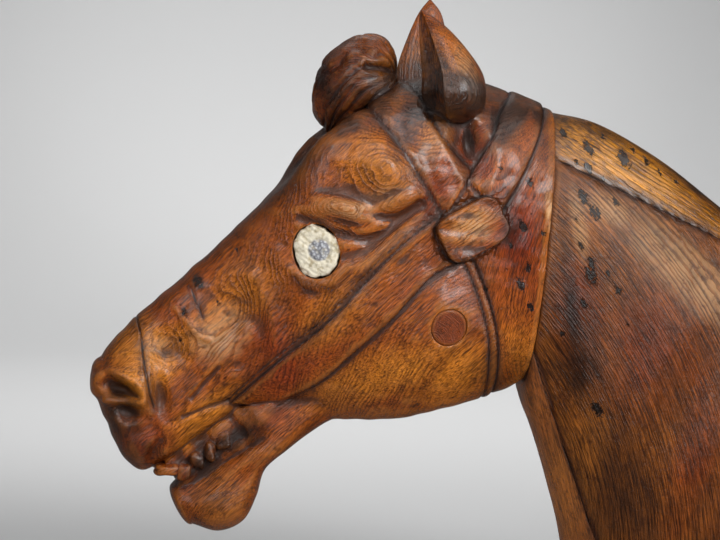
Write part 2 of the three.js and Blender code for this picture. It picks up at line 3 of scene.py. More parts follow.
import bmesh
import bpy
import numpy as np
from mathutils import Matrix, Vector


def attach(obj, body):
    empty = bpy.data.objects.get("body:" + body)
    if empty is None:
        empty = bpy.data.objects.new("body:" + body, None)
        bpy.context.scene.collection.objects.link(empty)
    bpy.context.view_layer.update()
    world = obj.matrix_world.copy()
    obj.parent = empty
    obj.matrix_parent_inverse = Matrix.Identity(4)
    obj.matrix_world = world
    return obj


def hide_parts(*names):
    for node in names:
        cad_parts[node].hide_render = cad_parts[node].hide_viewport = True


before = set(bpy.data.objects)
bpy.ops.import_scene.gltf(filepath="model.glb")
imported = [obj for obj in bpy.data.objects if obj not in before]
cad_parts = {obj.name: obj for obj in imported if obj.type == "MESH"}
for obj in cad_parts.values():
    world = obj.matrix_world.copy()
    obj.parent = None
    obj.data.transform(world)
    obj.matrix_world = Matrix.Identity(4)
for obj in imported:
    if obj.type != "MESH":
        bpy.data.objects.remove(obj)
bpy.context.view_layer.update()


def linked(name, data):
    """A new object in the scene, at the origin."""
    made = bpy.data.objects.new(name, data)
    bpy.context.collection.objects.link(made)
    return made


# ---------------------------------------------------------------------------- camera and room
# The bust stands on a pale floor that sweeps up into a pale wall all round, which shows darker in
# reflections. The camera looks at the left cheek from a little ahead of it and a little above.

TARGET = Vector((-0.321, 0.0, 0.353))
CAMERA_TURN, CAMERA_RISE, CAMERA_AWAY = math.radians(-8), math.radians(3), 1.6

towards_camera = Vector((
    math.sin(CAMERA_TURN) * math.cos(CAMERA_RISE),
    -math.cos(CAMERA_TURN) * math.cos(CAMERA_RISE),
    math.sin(CAMERA_RISE),
))
camera_data = bpy.data.cameras.new("camera")
camera_data.sensor_width = 36
camera_data.lens = 97.6
camera = linked("camera", camera_data)
camera.location = TARGET + towards_camera * CAMERA_AWAY
camera.rotation_euler = towards_camera.to_track_quat("Z", "Y").to_euler()
bpy.context.scene.camera = camera

FLOOR_FLAT, WALL_RADIUS, WALL_HEIGHT = 3.2, 7.5, 7.0


def room_mesh():
    """A floor turned about the middle: its profile runs level out to the start of a quarter
    ellipse and then up the wall, z = height x (1 - cos of the angle), r = flat + sine part."""
    angle = np.linspace(0, np.pi / 2, 25)
    radius = np.concatenate([[0.02, 1.0, 2.0], FLOOR_FLAT + (WALL_RADIUS - FLOOR_FLAT) * np.sin(angle)])
    height = np.concatenate([[0, 0, 0], WALL_HEIGHT * (1 - np.cos(angle))])
    turn = np.linspace(0, 2 * np.pi, 96, endpoint=False)
    points = np.stack([
        radius[:, None] * np.cos(turn), radius[:, None] * np.sin(turn),
        np.repeat(height[:, None], turn.size, axis=1),
    ], axis=-1)
    index = np.arange(points.shape[0] * turn.size).reshape(-1, turn.size)
    beside = np.roll(index, -1, axis=1)
    faces = np.stack([index[:-1], index[1:], beside[1:], beside[:-1]], axis=-1).reshape(-1, 4)
    mesh = bpy.data.meshes.new("room")
    mesh.from_pydata(points.reshape(-1, 3).tolist(), [], faces.tolist() + [index[0, ::-1].tolist()])
    mesh.shade_smooth()
    return mesh


room = linked("room", room_mesh())
paper = bpy.data.materials.new("pale_paper")
paper.use_nodes = True
surface = paper.node_tree.nodes["Principled BSDF"].inputs
path = paper.node_tree.nodes.new("ShaderNodeLightPath").outputs
seen = paper.node_tree.nodes.new("ShaderNodeMix")
seen.data_type = "RGBA"
seen.inputs[6].default_value, seen.inputs[7].default_value = (0.66, 0.66, 0.66, 1), (0.16, 0.16, 0.16, 1)
paper.node_tree.links.new(path["Is Glossy Ray"], seen.inputs[0])
paper.node_tree.links.new(seen.outputs[2], surface["Base Color"])
surface["Roughness"].default_value = 0.9
surface["Specular IOR Level"].default_value = 0.1
room.data.materials.append(paper)

# ---------------------------------------------------------------------------- head block
# One block of softwood carved with the whole head: skull, lips, teeth, ears, forelock and the
# bridle's straps. It is glued to the neck behind the cheek. Sizes are millimetres, and each mesh
# is made in metres.

MM = 0.001

# Each ring: where it meets the upper and the lower outline (x, z, x, z), its half width, how far
# down it is widest, the squareness of its upper and lower half, and the rise of the two ridges.
HEAD_RINGS = [
    (-164, 485, -188, 262, 53, 0.50, 2.3, 2.6, 0),
    (-192, 497, -205, 253, 57, 0.48, 2.3, 2.8, 0),
    (-226, 508, -231, 245, 61, 0.46, 2.4, 3.0, 0),
    (-262, 513, -262, 237, 64, 0.42, 2.5, 3.0, 0),
    (-300, 500, -296, 231, 66, 0.38, 2.7, 2.9, 3),
    (-334, 473, -325, 231, 67, 0.34, 2.9, 2.7, 17),
    (-362, 446, -348, 231, 64, 0.34, 3.0, 2.6, 22),
    (-390, 419, -372, 234, 56, 0.38, 2.8, 2.6, 6),
    (-420, 391, -398, 240, 48, 0.44, 2.6, 2.7, 0),
    (-450, 363, -424, 240, 43, 0.50, 2.5, 2.8, 0),
    (-480, 337, -447, 226, 40, 0.52, 2.5, 2.9, 0),
    (-503, 317, -466, 212, 40, 0.50, 2.6, 2.9, 0),
    (-522, 298, -482, 200, 41, 0.46, 2.7, 2.7, 0),
    (-532, 285, -494, 194, 39, 0.45, 2.7, 2.6, 0),
]
ACROSS_WEIGHT = 0.6  # the cheeks get more of a ring's points than its crown


def course(table, t):
    """Smooth course through the rows of a table, t from 0 at the first row to 1 at the last:
    cubic pieces whose slope at a row is half the step between its neighbours."""
    table = np.asarray(table, float)
    place = np.clip(t, 0, 1) * (len(table) - 1)
    i = np.minimum(place.astype(int), len(table) - 2)
    f = (place - i)[..., None]
    slope = np.gradient(table, axis=0)
    return (
        table[i] * (1 + 2 * f) * (1 - f) ** 2 + slope[i] * f * (1 - f) ** 2
        + table[i + 1] * f * f * (3 - 2 * f) + slope[i + 1] * f * f * (f - 1)
    )


def rounded_end(rows, depth, squareness, count):
    """Further rings in front of the last one, shrinking to a small flat end: the ring's size
    falls as a power of the cosine while it moves forward by a power of the sine."""
    top, low = rows[-1, 0:2], rows[-1, 2:4]
    down = (low - top) / np.linalg.norm(low - top)
    forward = np.array([down[1], -down[0]])
    angle = np.linspace(0, math.radians(86), count + 1)[1:, None]
    scale = np.cos(angle) ** (2 / squareness)
    middle = (top + low) / 2 + forward * depth * np.sin(angle) ** (2 / squareness)
    reach = (low - top) / 2 * scale
    shape = np.repeat(rows[-1:, 5:], count, axis=0)
    end = np.hstack([middle - reach, middle + reach, rows[-1, 4] * scale, shape])
    return np.concatenate([rows, end])


def ring_points(rows, around):
    """Points of each ring, spread evenly round it. A ring is a superellipse in the plane that
    holds Y and the line from its top to its low point, with two ridges beside its crown."""
    top, low = rows[:, None, 0:2], rows[:, None, 2:4]
    half, widest, upper, lower, ridge = (rows[:, None, k] for k in range(4, 9))
    angle = np.linspace(0, np.pi, 361)[None]
    cosine = np.cos(angle)
    power = 2 / np.where(cosine > 0, upper, lower)
    down = -np.sign(cosine) * np.abs(cosine) ** power
    lift = ridge / np.linalg.norm(top - low, axis=-1) * np.sin(2 * angle) ** 2 * (cosine > 0)
    share = np.where(down < 0, widest * (1 + down), widest + (1 - widest) * down) - lift
    side = top + (low - top) * share[..., None]
    across = -half * np.abs(np.sin(angle)) ** power
    across[:, -1] = 0
    fine = np.stack([side[..., 0], across, side[..., 1]], axis=-1)
    step = np.linalg.norm(np.diff(fine, axis=1) * (1, ACROSS_WEIGHT, 1), axis=-1)
    travelled = np.hstack([np.zeros((len(rows), 1)), np.cumsum(step, axis=1)])
    travelled /= travelled[:, -1:]
    goal = np.linspace(0, 1, around // 2 + 1)
    k = (travelled[:, None] < goal[:, None]).sum(axis=-1).clip(1, angle.size - 1)
    before, after = (np.take_along_axis(travelled, q, 1) for q in (k - 1, k))
    f = ((goal - before) / (after - before))[..., None]
    here, there = (np.take_along_axis(fine, q[..., None], 1) for q in (k - 1, k))
    left = here + (there - here) * f
    return np.concatenate([left, left[:, -2:0:-1] * (1, -1, 1)], axis=1)


def outward(points):
    """Unit normals of a grid of rings: the step along the rings crossed with the step round."""
    along = np.gradient(points, axis=0)
    around = np.roll(points, -1, axis=1) - np.roll(points, 1, axis=1)
    normal = np.cross(along, around)
    return normal / np.maximum(np.linalg.norm(normal, axis=-1, keepdims=True), 1e-9)


def form(x, z, at, size, tilt):
    """A rounded form seen from the side: (1 - a² - b²)² inside an ellipse, and 0 outside it."""
    c, s = math.cos(math.radians(tilt)), math.sin(math.radians(tilt))
    a = ((x - at[0]) * c + (z - at[1]) * s) / size[0]
    b = ((z - at[1]) * c - (x - at[0]) * s) / size[1]
    return np.maximum(1 - a * a - b * b, 0) ** 2


def line_distance(x, z, points, closed=False):
    """Distance in side view from each (x, z) to a line of points, below 0 inside a closed one."""
    start = np.asarray(points, float)
    end = np.roll(start, -1, axis=0)
    if not closed:
        start, end = start[:-1], end[:-1]
    best = np.full(x.shape, np.inf)
    inside = np.zeros(x.shape, bool)
    for (ax, az), (bx, bz) in zip(start, end):
        length2 = (bx - ax) ** 2 + (bz - az) ** 2
        t = np.clip(((x - ax) * (bx - ax) + (z - az) * (bz - az)) / length2, 0, 1)
        best = np.minimum(best, (x - ax - t * (bx - ax)) ** 2 + (z - az - t * (bz - az)) ** 2)
        if closed and az != bz:
            inside ^= ((az > z) != (bz > z)) & (x < (bx - ax) * (z - az) / (bz - az) + ax)
    best = np.sqrt(best)
    return np.where(inside, -best, best) if closed else best


def smooth_line(points, count=24):
    return course(points, np.linspace(0, 1, count))


def ease(value, low, high):
    """0 below low, 1 above high, and 3t² - 2t³ between."""
    t = np.clip((value - low) / (high - low), 0, 1)
    return t * t * (3 - 2 * t)


def waves(points, size, seed, turns=7):
    """Smooth unevenness between about -1 and 1: a sum of sine waves of many directions whose
    length is near size, with phases from a seeded generator."""
    chance = np.random.default_rng(seed)
    way = chance.normal(size=(turns, 3))
    length = size * np.linalg.norm(way, axis=1, keepdims=True) * chance.uniform(0.7, 1.5, (turns, 1))
    way *= 2 * np.pi / length
    total = sum(np.sin(points @ w + p) for w, p in zip(way, chance.uniform(0, 2 * np.pi, turns)))
    return total / math.sqrt(turns)


# Rounded forms of the flesh and bone: place, half length and half height, tilt, and rise.
FORMS = [
    ("temple", (-312, 438), (44, 32), -32, 8),
    ("brow roll", (-343, 405), (34, 12), -14, 8),
    ("upper roll", (-300, 410), (26, 9), 20, 4),
    ("over the eye", (-366, 402), (24, 9), -4, 3),
    ("under the lid", (-326, 374), (36, 12), 30, -3),
    ("long roll", (-304, 374), (44, 12), 38, 2.4),
    ("eye socket", (-364, 371), (29, 29), 0, -4),
    ("cheek", (-272, 306), (78, 70), 10, 7),
    ("cheek pad", (-262, 322), (34, 34), 0, 2),
    ("jaw bar", (-372, 240), (44, 18), 28, -4),
    ("round hollow", (-430, 324), (34, 32), 0, -4),
    ("front scoop", (-480, 295), (22, 22), 20, -6),
    ("bridge", (-470, 334), (40, 9), 42, 2),
    ("nostril wing", (-506, 266), (34, 26), 50, 7),
    ("behind the nostril", (-486, 258), (9, 28), 10, -4),
    ("nostril", (-517, 262), (20, 11), -22, -14),
    ("nostril's lower part", (-513, 245), (17, 12), -20, -9),
    ("upper lip", (-502, 216), (22, 15), 40, 5),
    ("lip fold", (-490, 214), (8, 16), -30, -3),
    ("mouth corner", (-414, 230), (15, 17), 20, -10),
    ("ear hollow", (-240, 452), (20, 36), 16, -8),
    ("ear gouge", (-239, 457), (7, 16), 4, -5),
]
# Ridges and folds along a line: half width and rise, then the line in side view.
FOLDS = [
    ("lid fold", 3.4, -4.2, [
        (-376, 398), (-365, 394), (-352, 387), (-339, 383), (-325, 381), (-312, 385), (-297, 396),
        (-283, 407),
    ]),
    ("lower lid", 4, 2, [(-382, 356), (-370, 346), (-354, 347), (-342, 360)]),
    ("temple fold", 4, -3, [(-330, 402), (-320, 400), (-308, 397), (-296, 399), (-281, 408)]),
    ("facial ridge", 7, 2.0, [(-412, 350), (-404, 332), (-398, 312), (-397, 292), (-402, 276)]),
    ("lip muscle", 8, 3, [(-418, 304), (-434, 290), (-450, 272), (-466, 254), (-482, 236)]),
    ("second muscle", 7, 2.4, [(-428, 272), (-446, 256), (-462, 240), (-478, 226)]),
    ("slit", 2.4, -2.6, [(-440, 279), (-450, 268), (-461, 255)]),
    ("band line", 2.2, -2, [(-468, 240), (-450, 247), (-432, 251)]),
    ("lip band", 6, 3, [(-482, 213), (-466, 224), (-450, 234), (-434, 244)]),
    ("scoop rim", 3, 1.6, [(-472, 324), (-464, 314), (-456, 304), (-448, 300)]),
    ("nostril rim", 4, 3, [(-538, 258), (-534, 270), (-523, 276), (-511, 270), (-501, 260), (-494, 244)]),
    ("nostril bridge", 2.5, 3, [(-528, 254), (-514, 253), (-500, 252)]),
]
STRAPS = {
    "browband": (
        [(-340, 514), (-318, 483), (-295, 449), (-276, 419), (-262, 396)],
        [(-296, 524), (-277, 490), (-271, 474), (-257, 453), (-238, 434)],
    ),
    "crownpiece": (
        [(-186, 522), (-198, 499), (-213, 480), (-223, 458), (-244, 426)],
        [(-160, 512), (-172, 484), (-182, 459), (-198, 428), (-216, 400)],
    ),
    "cheekpiece": (
        [(-262, 404), (-268, 398), (-294, 378), (-322, 351), (-353, 317), (-398, 279), (-430, 248)],
        [(-244, 368), (-252, 361), (-275, 349), (-303, 319), (-333, 291), (-360, 266), (-398, 243)],
    ),
    "throat strap": (
        [(-254, 368), (-245, 358), (-236, 337), (-229, 315), (-224, 287), (-222, 225)],
        [(-244, 368), (-236, 358), (-228, 337), (-221, 315), (-216, 287), (-214, 225)],
    ),
}
STRAP_RISE = {"browband": 1.6, "crownpiece": 1.6, "cheekpiece": 1.8, "throat strap": 0.5}
CUT_DEPTH, CUT_HALF = 1.4, 1.6  # of the knife line beside each strap
CRACKS = [
    [(-506, 326), (-501, 305), (-499, 285), (-495, 262), (-491, 248)],
    [(-462, 342), (-457, 330), (-452, 318)],
    [(-381, 350), (-374, 342), (-366, 339)],
    [(-374, 348), (-366, 345), (-352, 341)],
]
EYE = {"at": (-364, 371), "size": (18, 21), "tilt": 15, "depth": 9}
PLUG = {"at": (-259, 310), "radius": 15, "depth": 22}


def strap_lines():
    return [np.concatenate([smooth_line(a, 20), smooth_line(b, 20)[::-1]]) for a, b in STRAPS.values()]


def head_relief(x, z):
    """The carving's rise along the surface's normal: forms and folds, each strap's step of its
    STRAP_RISE, and a bell-shaped cut along its edges."""
    rise = np.zeros(x.shape)
    for _, at, size, tilt, height in FORMS:
        rise += height * form(x, z, at, size, tilt)
    for _, half, height, path in FOLDS:
        rise += height * np.exp(-((line_distance(x, z, smooth_line(path)) / half) ** 2))
    edges = [line_distance(x, z, outline, closed=True) for outline in strap_lines()]
    rise += np.maximum.reduce([h * ease(-e, -1.0, 2.0) for h, e in zip(STRAP_RISE.values(), edges)])
    beside = np.minimum.reduce([np.abs(edge) for edge in edges])
    rise -= CUT_DEPTH * np.exp(-((beside / CUT_HALF) ** 2))
    cracks = np.minimum.reduce([line_distance(x, z, smooth_line(c)) for c in CRACKS])
    flat = np.stack([x, 0 * x, z], axis=-1)
    uneven = 0.35 * waves(flat, 22, 1) + 0.2 * waves(flat, 9, 2)
    return rise + uneven - 1.0 * np.exp(-((cracks / 1.0) ** 2))


def closed_mesh(name, points, ends):
    """A closed mesh over rows of points, (rows, columns, 3), each row a ring. ends "flat" closes
    the first and last ring with strips from side to side, "point" with a fan to its middle.
    The faces are turned outwards by the sign of the enclosed volume."""
    rows, columns = points.shape[:2]
    index = np.arange(rows * columns).reshape(rows, columns)
    beside = np.roll(index, -1, axis=1)
    quads = np.stack([index[:-1], index[1:], beside[1:], beside[:-1]], axis=-1).reshape(-1, 4)
    vertices = points.reshape(-1, 3)
    j = np.arange(columns // 2 if ends == "flat" else columns)
    if ends == "flat":
        first = np.stack([j, j + 1, columns - j - 1, (columns - j) % columns], axis=-1)
        last = first[:, ::-1] + (rows - 1) * columns
    else:
        vertices = np.concatenate([vertices, [points[0].mean(axis=0), points[-1].mean(axis=0)]])
        first = np.stack([np.full(columns, rows * columns), j, (j + 1) % columns], axis=-1)
        last = np.stack([np.full(columns, rows * columns + 1), (j + 1) % columns, j], axis=-1)
        last[:, 1:] += (rows - 1) * columns
    caps = [list(dict.fromkeys(face)) for face in first.tolist() + last.tolist()]
    a, b, c = (vertices[quads[:, k]] for k in (0, 1, 2))
    d = vertices[quads[:, 3]]
    volume = np.einsum("ij,ij->", a, np.cross(b, c)) + np.einsum("ij,ij->", a, np.cross(c, d))
    faces = quads.tolist() + caps
    if volume < 0:
        faces = [face[::-1] for face in faces]
    mesh = bpy.data.meshes.new(name)
    mesh.from_pydata((vertices * MM).tolist(), [], faces)
    return mesh


def bent_loft(rings, grid, end=None, relief=None):
    """Rings of a loft with its carving: each point moves along the normal by the relief there."""
    rows = course(rings, np.linspace(0, 1, grid[0]))
    if end:
        rows = rounded_end(rows, *end)
    points = ring_points(rows, grid[1])
    if relief is None:
        return points
    return points + outward(points) * relief(points[..., 0], points[..., 2])[..., None]


HEAD_GRID = (270, 216)  # rings, and points round each
head_points = bent_loft(HEAD_RINGS, HEAD_GRID, (17, 2.6, 20), head_relief)
head_shells = [closed_mesh("head", head_points, "flat")]

# ---------------------------------------------------------------------------- jaw and mouth
# The lower jaw, the gums and the teeth, carved from the same block. The jaw is a second loft
# that starts inside the head, the gums fill the mouth, and the teeth are rounded lumps.

JAW_RINGS = [
    (-350, 300, -328, 240, 26, 0.50, 2.2, 2.2, 0),
    (-380, 256, -360, 223, 37, 0.50, 2.4, 2.2, 0),
    (-402, 224, -382, 208, 40, 0.50, 2.6, 2.2, 0),
    (-422, 210, -400, 192, 38, 0.50, 2.6, 2.1, 0),
    (-440, 200, -407, 170, 38, 0.55, 2.4, 2.1, 0),
    (-454, 191, -418, 150, 38, 0.60, 2.2, 2.1, 0),
    (-467, 184, -438, 142, 35, 0.60, 2.2, 2.1, 0),
    (-475, 179, -459, 148, 29, 0.50, 2.3, 2.2, 0),
]
GUM_RINGS = [
    (-372, 272, -356, 230, 32, 0.5, 3, 3, 0),
    (-402, 258, -388, 214, 37, 0.5, 3, 3, 0),
    (-421, 250, -404, 204, 33, 0.5, 3, 3, 0),
    (-433, 243, -417, 197, 28, 0.5, 4, 4, 0),
    (-485, 207, -466, 168, 22, 0.5, 4, 4, 0),
]
TEETH = [  # middle and half sizes
    ((-480, -17, 195), (10, 12, 5)),
    ((-467, -19, 193), (6, 9, 7)),
    ((-456, -20, 202), (6, 9, 7)),
    ((-446, -21, 209), (5, 10, 8)),
    ((-435, -21, 218), (6, 10, 8)),
]


def jaw_relief(x, z):
    """The lip's rolled edge and the hollow below it, along lines in side view."""
    edge = line_distance(x, z, smooth_line([(-470, 178), (-448, 194), (-428, 208), (-400, 221)]))
    hollow = form(x, z, (-424, 188), (22, 9), 42)
    return 2.5 * np.exp(-((edge / 5) ** 2)) - 2.5 * hollow + 1.5 * form(x, z, (-440, 164), (24, 20), 0)


def lump(at, size, seed, rows=22, columns=30):
    """An uneven ball: half sizes times the sines and cosines of two angles, times 1 + waves."""
    down = np.linspace(0.04, np.pi - 0.04, rows)[:, None]
    turn = np.linspace(0, 2 * np.pi, columns, endpoint=False)[None]
    unit = np.stack([
        np.sin(down) * np.cos(turn), np.sin(down) * np.sin(turn), np.cos(down) + 0 * turn,
    ], axis=-1)
    unit = np.sign(unit) * np.abs(unit) ** 0.6
    return np.asarray(at) + unit * np.asarray(size) * (1 + 0.1 * waves(unit, 1.1, seed)[..., None])


head_shells.append(closed_mesh("jaw", bent_loft(JAW_RINGS, (80, 88), (6, 2.4, 10), jaw_relief), "flat"))
gum_points = bent_loft(GUM_RINGS, (40, 48))
gum_points += outward(gum_points) * 1.2 * waves(gum_points, 14, 5)[..., None]
head_shells.append(closed_mesh("gums", gum_points, "flat"))
for number, (at, size) in enumerate(TEETH):
    tooth = lump(at, size, number)
    head_shells += [closed_mesh("tooth", tooth * (1, side, 1), "point") for side in (1, -1)]

# ---------------------------------------------------------------------------- bridle boss
# A flat rounded block left standing on each cheek where the straps meet, with an uneven face
# and worn edges.

LEFT_CHEEK = (slice(4, HEAD_GRID[0] - 2), slice(4, HEAD_GRID[1] // 2 - 2))  # clear of the edges
BOSS = {"at": (-241, 388), "size": (28, 19.5), "tilt": 27, "rise": 9, "sunk": 9, "bevel": 2}


def place_on_head(at):
    """The head's left surface at (x, z) in side view, and unit vectors there: along X within
    the surface, upwards within it, and outwards."""
    cheek = head_points[LEFT_CHEEK]
    distance = np.hypot(cheek[..., 0] - at[0], cheek[..., 2] - at[1])
    near = distance < distance.min() + 8
    middle = np.array([at[0], cheek[..., 1][near].mean(), at[1]])
    out = outward(head_points)[LEFT_CHEEK][near].mean(axis=0)
    out /= np.linalg.norm(out)
    along = np.array([1.0, 0, 0]) - out * out[0]
    along /= np.linalg.norm(along)
    return middle, along, np.cross(out, along), out


def oblong(a, b, turn, tilt, power):
    """A superellipse turned by tilt: half sizes times the cosine and sine, each raised to the
    power with its sign kept."""
    u = a * np.sign(np.cos(turn)) * np.abs(np.cos(turn)) ** power
    v = b * np.sign(np.sin(turn)) * np.abs(np.sin(turn)) ** power
    c, s = math.cos(math.radians(tilt)), math.sin(math.radians(tilt))
    return u * c - v * s, u * s + v * c


def slab(at, size, tilt, heights, squareness, columns=72):
    """Rings of a rounded oblong set on the head: at each (height, inset) of the profile, an
    outline |x/a|^n + |y/b|^n = 1 whose half sizes a and b are less by the inset."""
    middle, along, up, out = place_on_head(at)
    turn = np.linspace(0, 2 * np.pi, columns, endpoint=False)[None]
    height, inset = (np.asarray(heights, float)[:, k:k + 1] for k in (0, 1))
    u, v = oblong(size[0] - inset, size[1] - inset, turn, tilt, 2 / squareness)
    return middle + u[..., None] * along + v[..., None] * up + height[..., None] * out


def foot_line(at, size, tilt, grow):
    """The boss's foot in side view, larger by grow."""
    u, v = oblong(size[0] + grow, size[1] + grow, np.linspace(0, 2 * np.pi, 49), tilt, power=0.59)
    return np.stack([at[0] + u, at[1] + v], axis=1)


boss_profile = [(-BOSS["sunk"], 0)] + [(h, 0) for h in np.linspace(-7, 6.4, 8)]
for q in np.linspace(0.1, 1.57, 5):  # the rounded edge, a quarter circle
    boss_profile.append((BOSS["rise"] - BOSS["bevel"] * (1 - math.sin(q)), BOSS["bevel"] * (1 - math.cos(q))))
boss_profile += [(BOSS["rise"], inset) for inset in np.linspace(3.5, BOSS["size"][1] - 1, 9)]
boss = slab(BOSS["at"], BOSS["size"], BOSS["tilt"], boss_profile, 4.5)
boss_out = place_on_head(BOSS["at"])[3]
boss += boss_out * (0.6 * waves(boss * (0.6, 1, 1.6), 16, 11))[..., None]
head_shells += [closed_mesh("boss", boss * (1, side, 1), "point") for side in (1, -1)]

# ---------------------------------------------------------------------------- ears
# Two leaf-shaped ears with thin rims, hollowed towards the front. The right one stands a
# little taller and further back.

# x, y, z of the middle line, half breadth seen from the side, half thickness
EARS = {
    -1: [
        (-252, -46, 472, 8, 8),
        (-254, -56, 480, 22, 17),
        (-256, -60, 492, 27, 20),
        (-257, -59, 510, 26, 18),
        (-263, -55, 530, 20, 14),
        (-271, -51, 549, 11, 8),
        (-279, -47, 563, 0, 0),
    ],
    1: [
        (-258, 46, 466, 6, 6),
        (-262, 52, 482, 20, 15),
        (-264, 55, 500, 26, 18),
        (-263, 54, 522, 24, 16),
        (-259, 51, 545, 19, 12),
        (-256, 48, 566, 11, 8),
        (-255, 46, 579, 0, 0),
    ],
}
EAR_HOLLOW, EAR_TURN, EAR_MOUTH = 0.9, 0.3, 0.85  # depth, angle it faces outwards, half width


def ear_points(side):
    """Rings of an ear up its middle line. At angle q from the front the ring's radius is the
    ellipse's, less the hollow: depth x ease of the cosine beyond the mouth's edge."""
    t = np.linspace(0.006, 0.994, 76)
    x, y, z, broad, thick = (course(EARS[side], t)[:, k:k + 1] for k in range(5))
    angle = np.linspace(0, 2 * np.pi, 84, endpoint=False)[None]
    off = np.cos(angle - EAR_TURN)
    scoop = EAR_HOLLOW * ease(off, math.cos(EAR_MOUTH), 1) * np.clip(4 * t * (1 - t), 0, 1)[:, None] ** 0.4
    return np.stack([
        x - broad * (np.cos(angle) - 1.1 * scoop),
        y + side * thick * np.sin(angle) * (1 - 0.25 * scoop),
        z + 0 * angle,
    ], axis=-1)


head_shells += [closed_mesh("ear", ear_points(side), "point") for side in (-1, 1)]

# ---------------------------------------------------------------------------- forelock
# A thick curl of mane lying on the forehead, with the knife lines that part its strands. They
# sweep from the root at the brow over the top and turn in at the rear.

FORELOCK = [  # x, z of the middle line, half thickness, half breadth
    (-342, 462, 0, 0),
    (-343, 474, 12, 18),
    (-341, 488, 20, 30),
    (-333, 502, 26, 36),
    (-322, 516, 27, 37),
    (-311, 528, 21, 31),
    (-302, 536, 12, 20),
    (-297, 540, 0, 0),
]
LOCK_ROOT = 1.35  # how much thicker the lock is on the side that joins the forehead
LOCK_LOW, LOCK_REAR = (-347, 462), (-293, 512)  # where the strands meet at the brow and behind
STRANDS, STRAND_CUT = 7, 2.0  # strands over the turn between the ends, and depth of a cut


def forelock_points():
    """Rings along the lock's middle line: across it by the half thickness times the cosine,
    and sideways by the half breadth times the sine. A strand follows the arc of places from
    which the two meeting points lie the same angle apart, and cuts part the strands."""
    t = np.linspace(0.004, 0.996, 110)
    x, z, thick, broad = (course(FORELOCK, t)[:, k:k + 1] for k in range(4))
    step = course(FORELOCK, t + 0.03)[:, :2] - course(FORELOCK, t - 0.03)[:, :2]
    step /= np.linalg.norm(step, axis=1, keepdims=True)
    away = np.stack([-step[:, 1], step[:, 0]], axis=1)
    angle = np.linspace(0, 2 * np.pi, 128, endpoint=False)[None]
    reach = thick * np.cos(angle) * np.where(np.cos(angle) < 0, LOCK_ROOT, 1)
    points = np.stack([x + away[:, :1] * reach, broad * np.sin(angle), z + away[:, 1:] * reach], axis=-1)
    side_x, side_z = points[..., 0], points[..., 2]
    apart = np.arctan2(side_z - LOCK_LOW[1], side_x - LOCK_LOW[0])
    apart = (np.arctan2(side_z - LOCK_REAR[1], side_x - LOCK_REAR[0]) - apart) % (2 * np.pi)
    strand = apart / np.pi * STRANDS + 0.3 * waves(points, 30, 8)
    cut = np.exp(-(((strand + 0.5) % 1 - 0.5) / 0.16) ** 2)
    slot = np.exp(-((line_distance(side_x, side_z, [(-320, 518), (-299, 515)]) / 3) ** 2))
    rise = 0.6 - STRAND_CUT * cut - 6 * slot + 0.5 * waves(points, 18, 3) + 0.15 * waves(points, 6, 4)
    return points + outward(points) * rise[..., None]


head_shells.append(closed_mesh("forelock", forelock_points(), "point"))

# ---------------------------------------------------------------------------- the carved block
# The carved forms become one skin, with a pocket for each eye and a hole for each plug. Sharp
# meetings are rubbed over, as the old varnish and long handling have done.


def one_solid(name, shells, holes=()):
    """The union of closed meshes, less the holes, as a new object at the origin."""
    made = linked(name, shells[0])
    helpers = []
    for mesh, operation in [(s, "UNION") for s in shells[1:]] + [(h, "DIFFERENCE") for h in holes]:
        helper = linked("helper", mesh)
        helpers.append(helper)
        step = made.modifiers.new("join", "BOOLEAN")
        step.operation, step.solver, step.object = operation, "MANIFOLD", helper
    whole = bpy.data.meshes.new_from_object(made.evaluated_get(bpy.context.evaluated_depsgraph_get()))
    made.modifiers.clear()
    made.data = whole
    whole.materials.clear()
    for helper in helpers:
        bpy.data.objects.remove(helper)
    return made


def mesh_arrays(mesh):
    """Vertices in millimetres, edges and vertex normals as arrays."""
    places = np.empty(len(mesh.vertices) * 3)
    mesh.vertices.foreach_get("co", places)
    edges = np.empty(len(mesh.edges) * 2, np.int64)
    mesh.edges.foreach_get("vertices", edges)
    normals = np.empty(len(mesh.vertices) * 3)
    mesh.vertex_normals.foreach_get("vector", normals)
    return places.reshape(-1, 3) / MM, edges.reshape(-1, 2), normals.reshape(-1, 3)


def neighbour_mean(values, edges):
    """Each vertex's mean over its neighbours, for every column of values."""
    count = np.bincount(edges.ravel(), minlength=len(values))
    columns = []
    for column in values.reshape(len(values), -1).T:
        total = np.bincount(edges[:, 0], column[edges[:, 1]], len(values))
        total += np.bincount(edges[:, 1], column[edges[:, 0]], len(values))
        columns.append(total / count)
    return np.stack(columns, axis=1).reshape(values.shape)


def rub_over(mesh, rounds, share, rear):
    """Moves sharp places towards their neighbours' mean: where the mean lies far off the
    surface compared with the edge length, by share in each round. The rim at the rear line
    (two points in side view) stays crisp, because it is a glued joint, and so does the boss."""
    places, edges, _ = mesh_arrays(mesh)
    share = share * ease(line_distance(places[:, 0], places[:, 2], np.array(rear, float)), 2, 5)
    share = share * (1 - 0.8 * (form(places[:, 0], places[:, 2], BOSS["at"], (38, 30), BOSS["tilt"]) > 0))
    length = np.linalg.norm(places[edges[:, 0]] - places[edges[:, 1]], axis=1)
    count = np.bincount(edges.ravel(), minlength=len(places))
    mean_length = sum(np.bincount(edges[:, k], length, len(places)) for k in (0, 1)) / count
    for _ in range(rounds):
        pull = neighbour_mean(places, edges) - places
        sharp = ease(np.linalg.norm(pull, axis=1) / np.maximum(mean_length, 0.2), 0.12, 0.35)
        sharp = np.maximum(sharp, 0.7 * neighbour_mean(sharp, edges))
        places += pull * (share * sharp)[:, None]
    mesh.vertices.foreach_set("co", (places * MM).ravel())
    mesh.update()


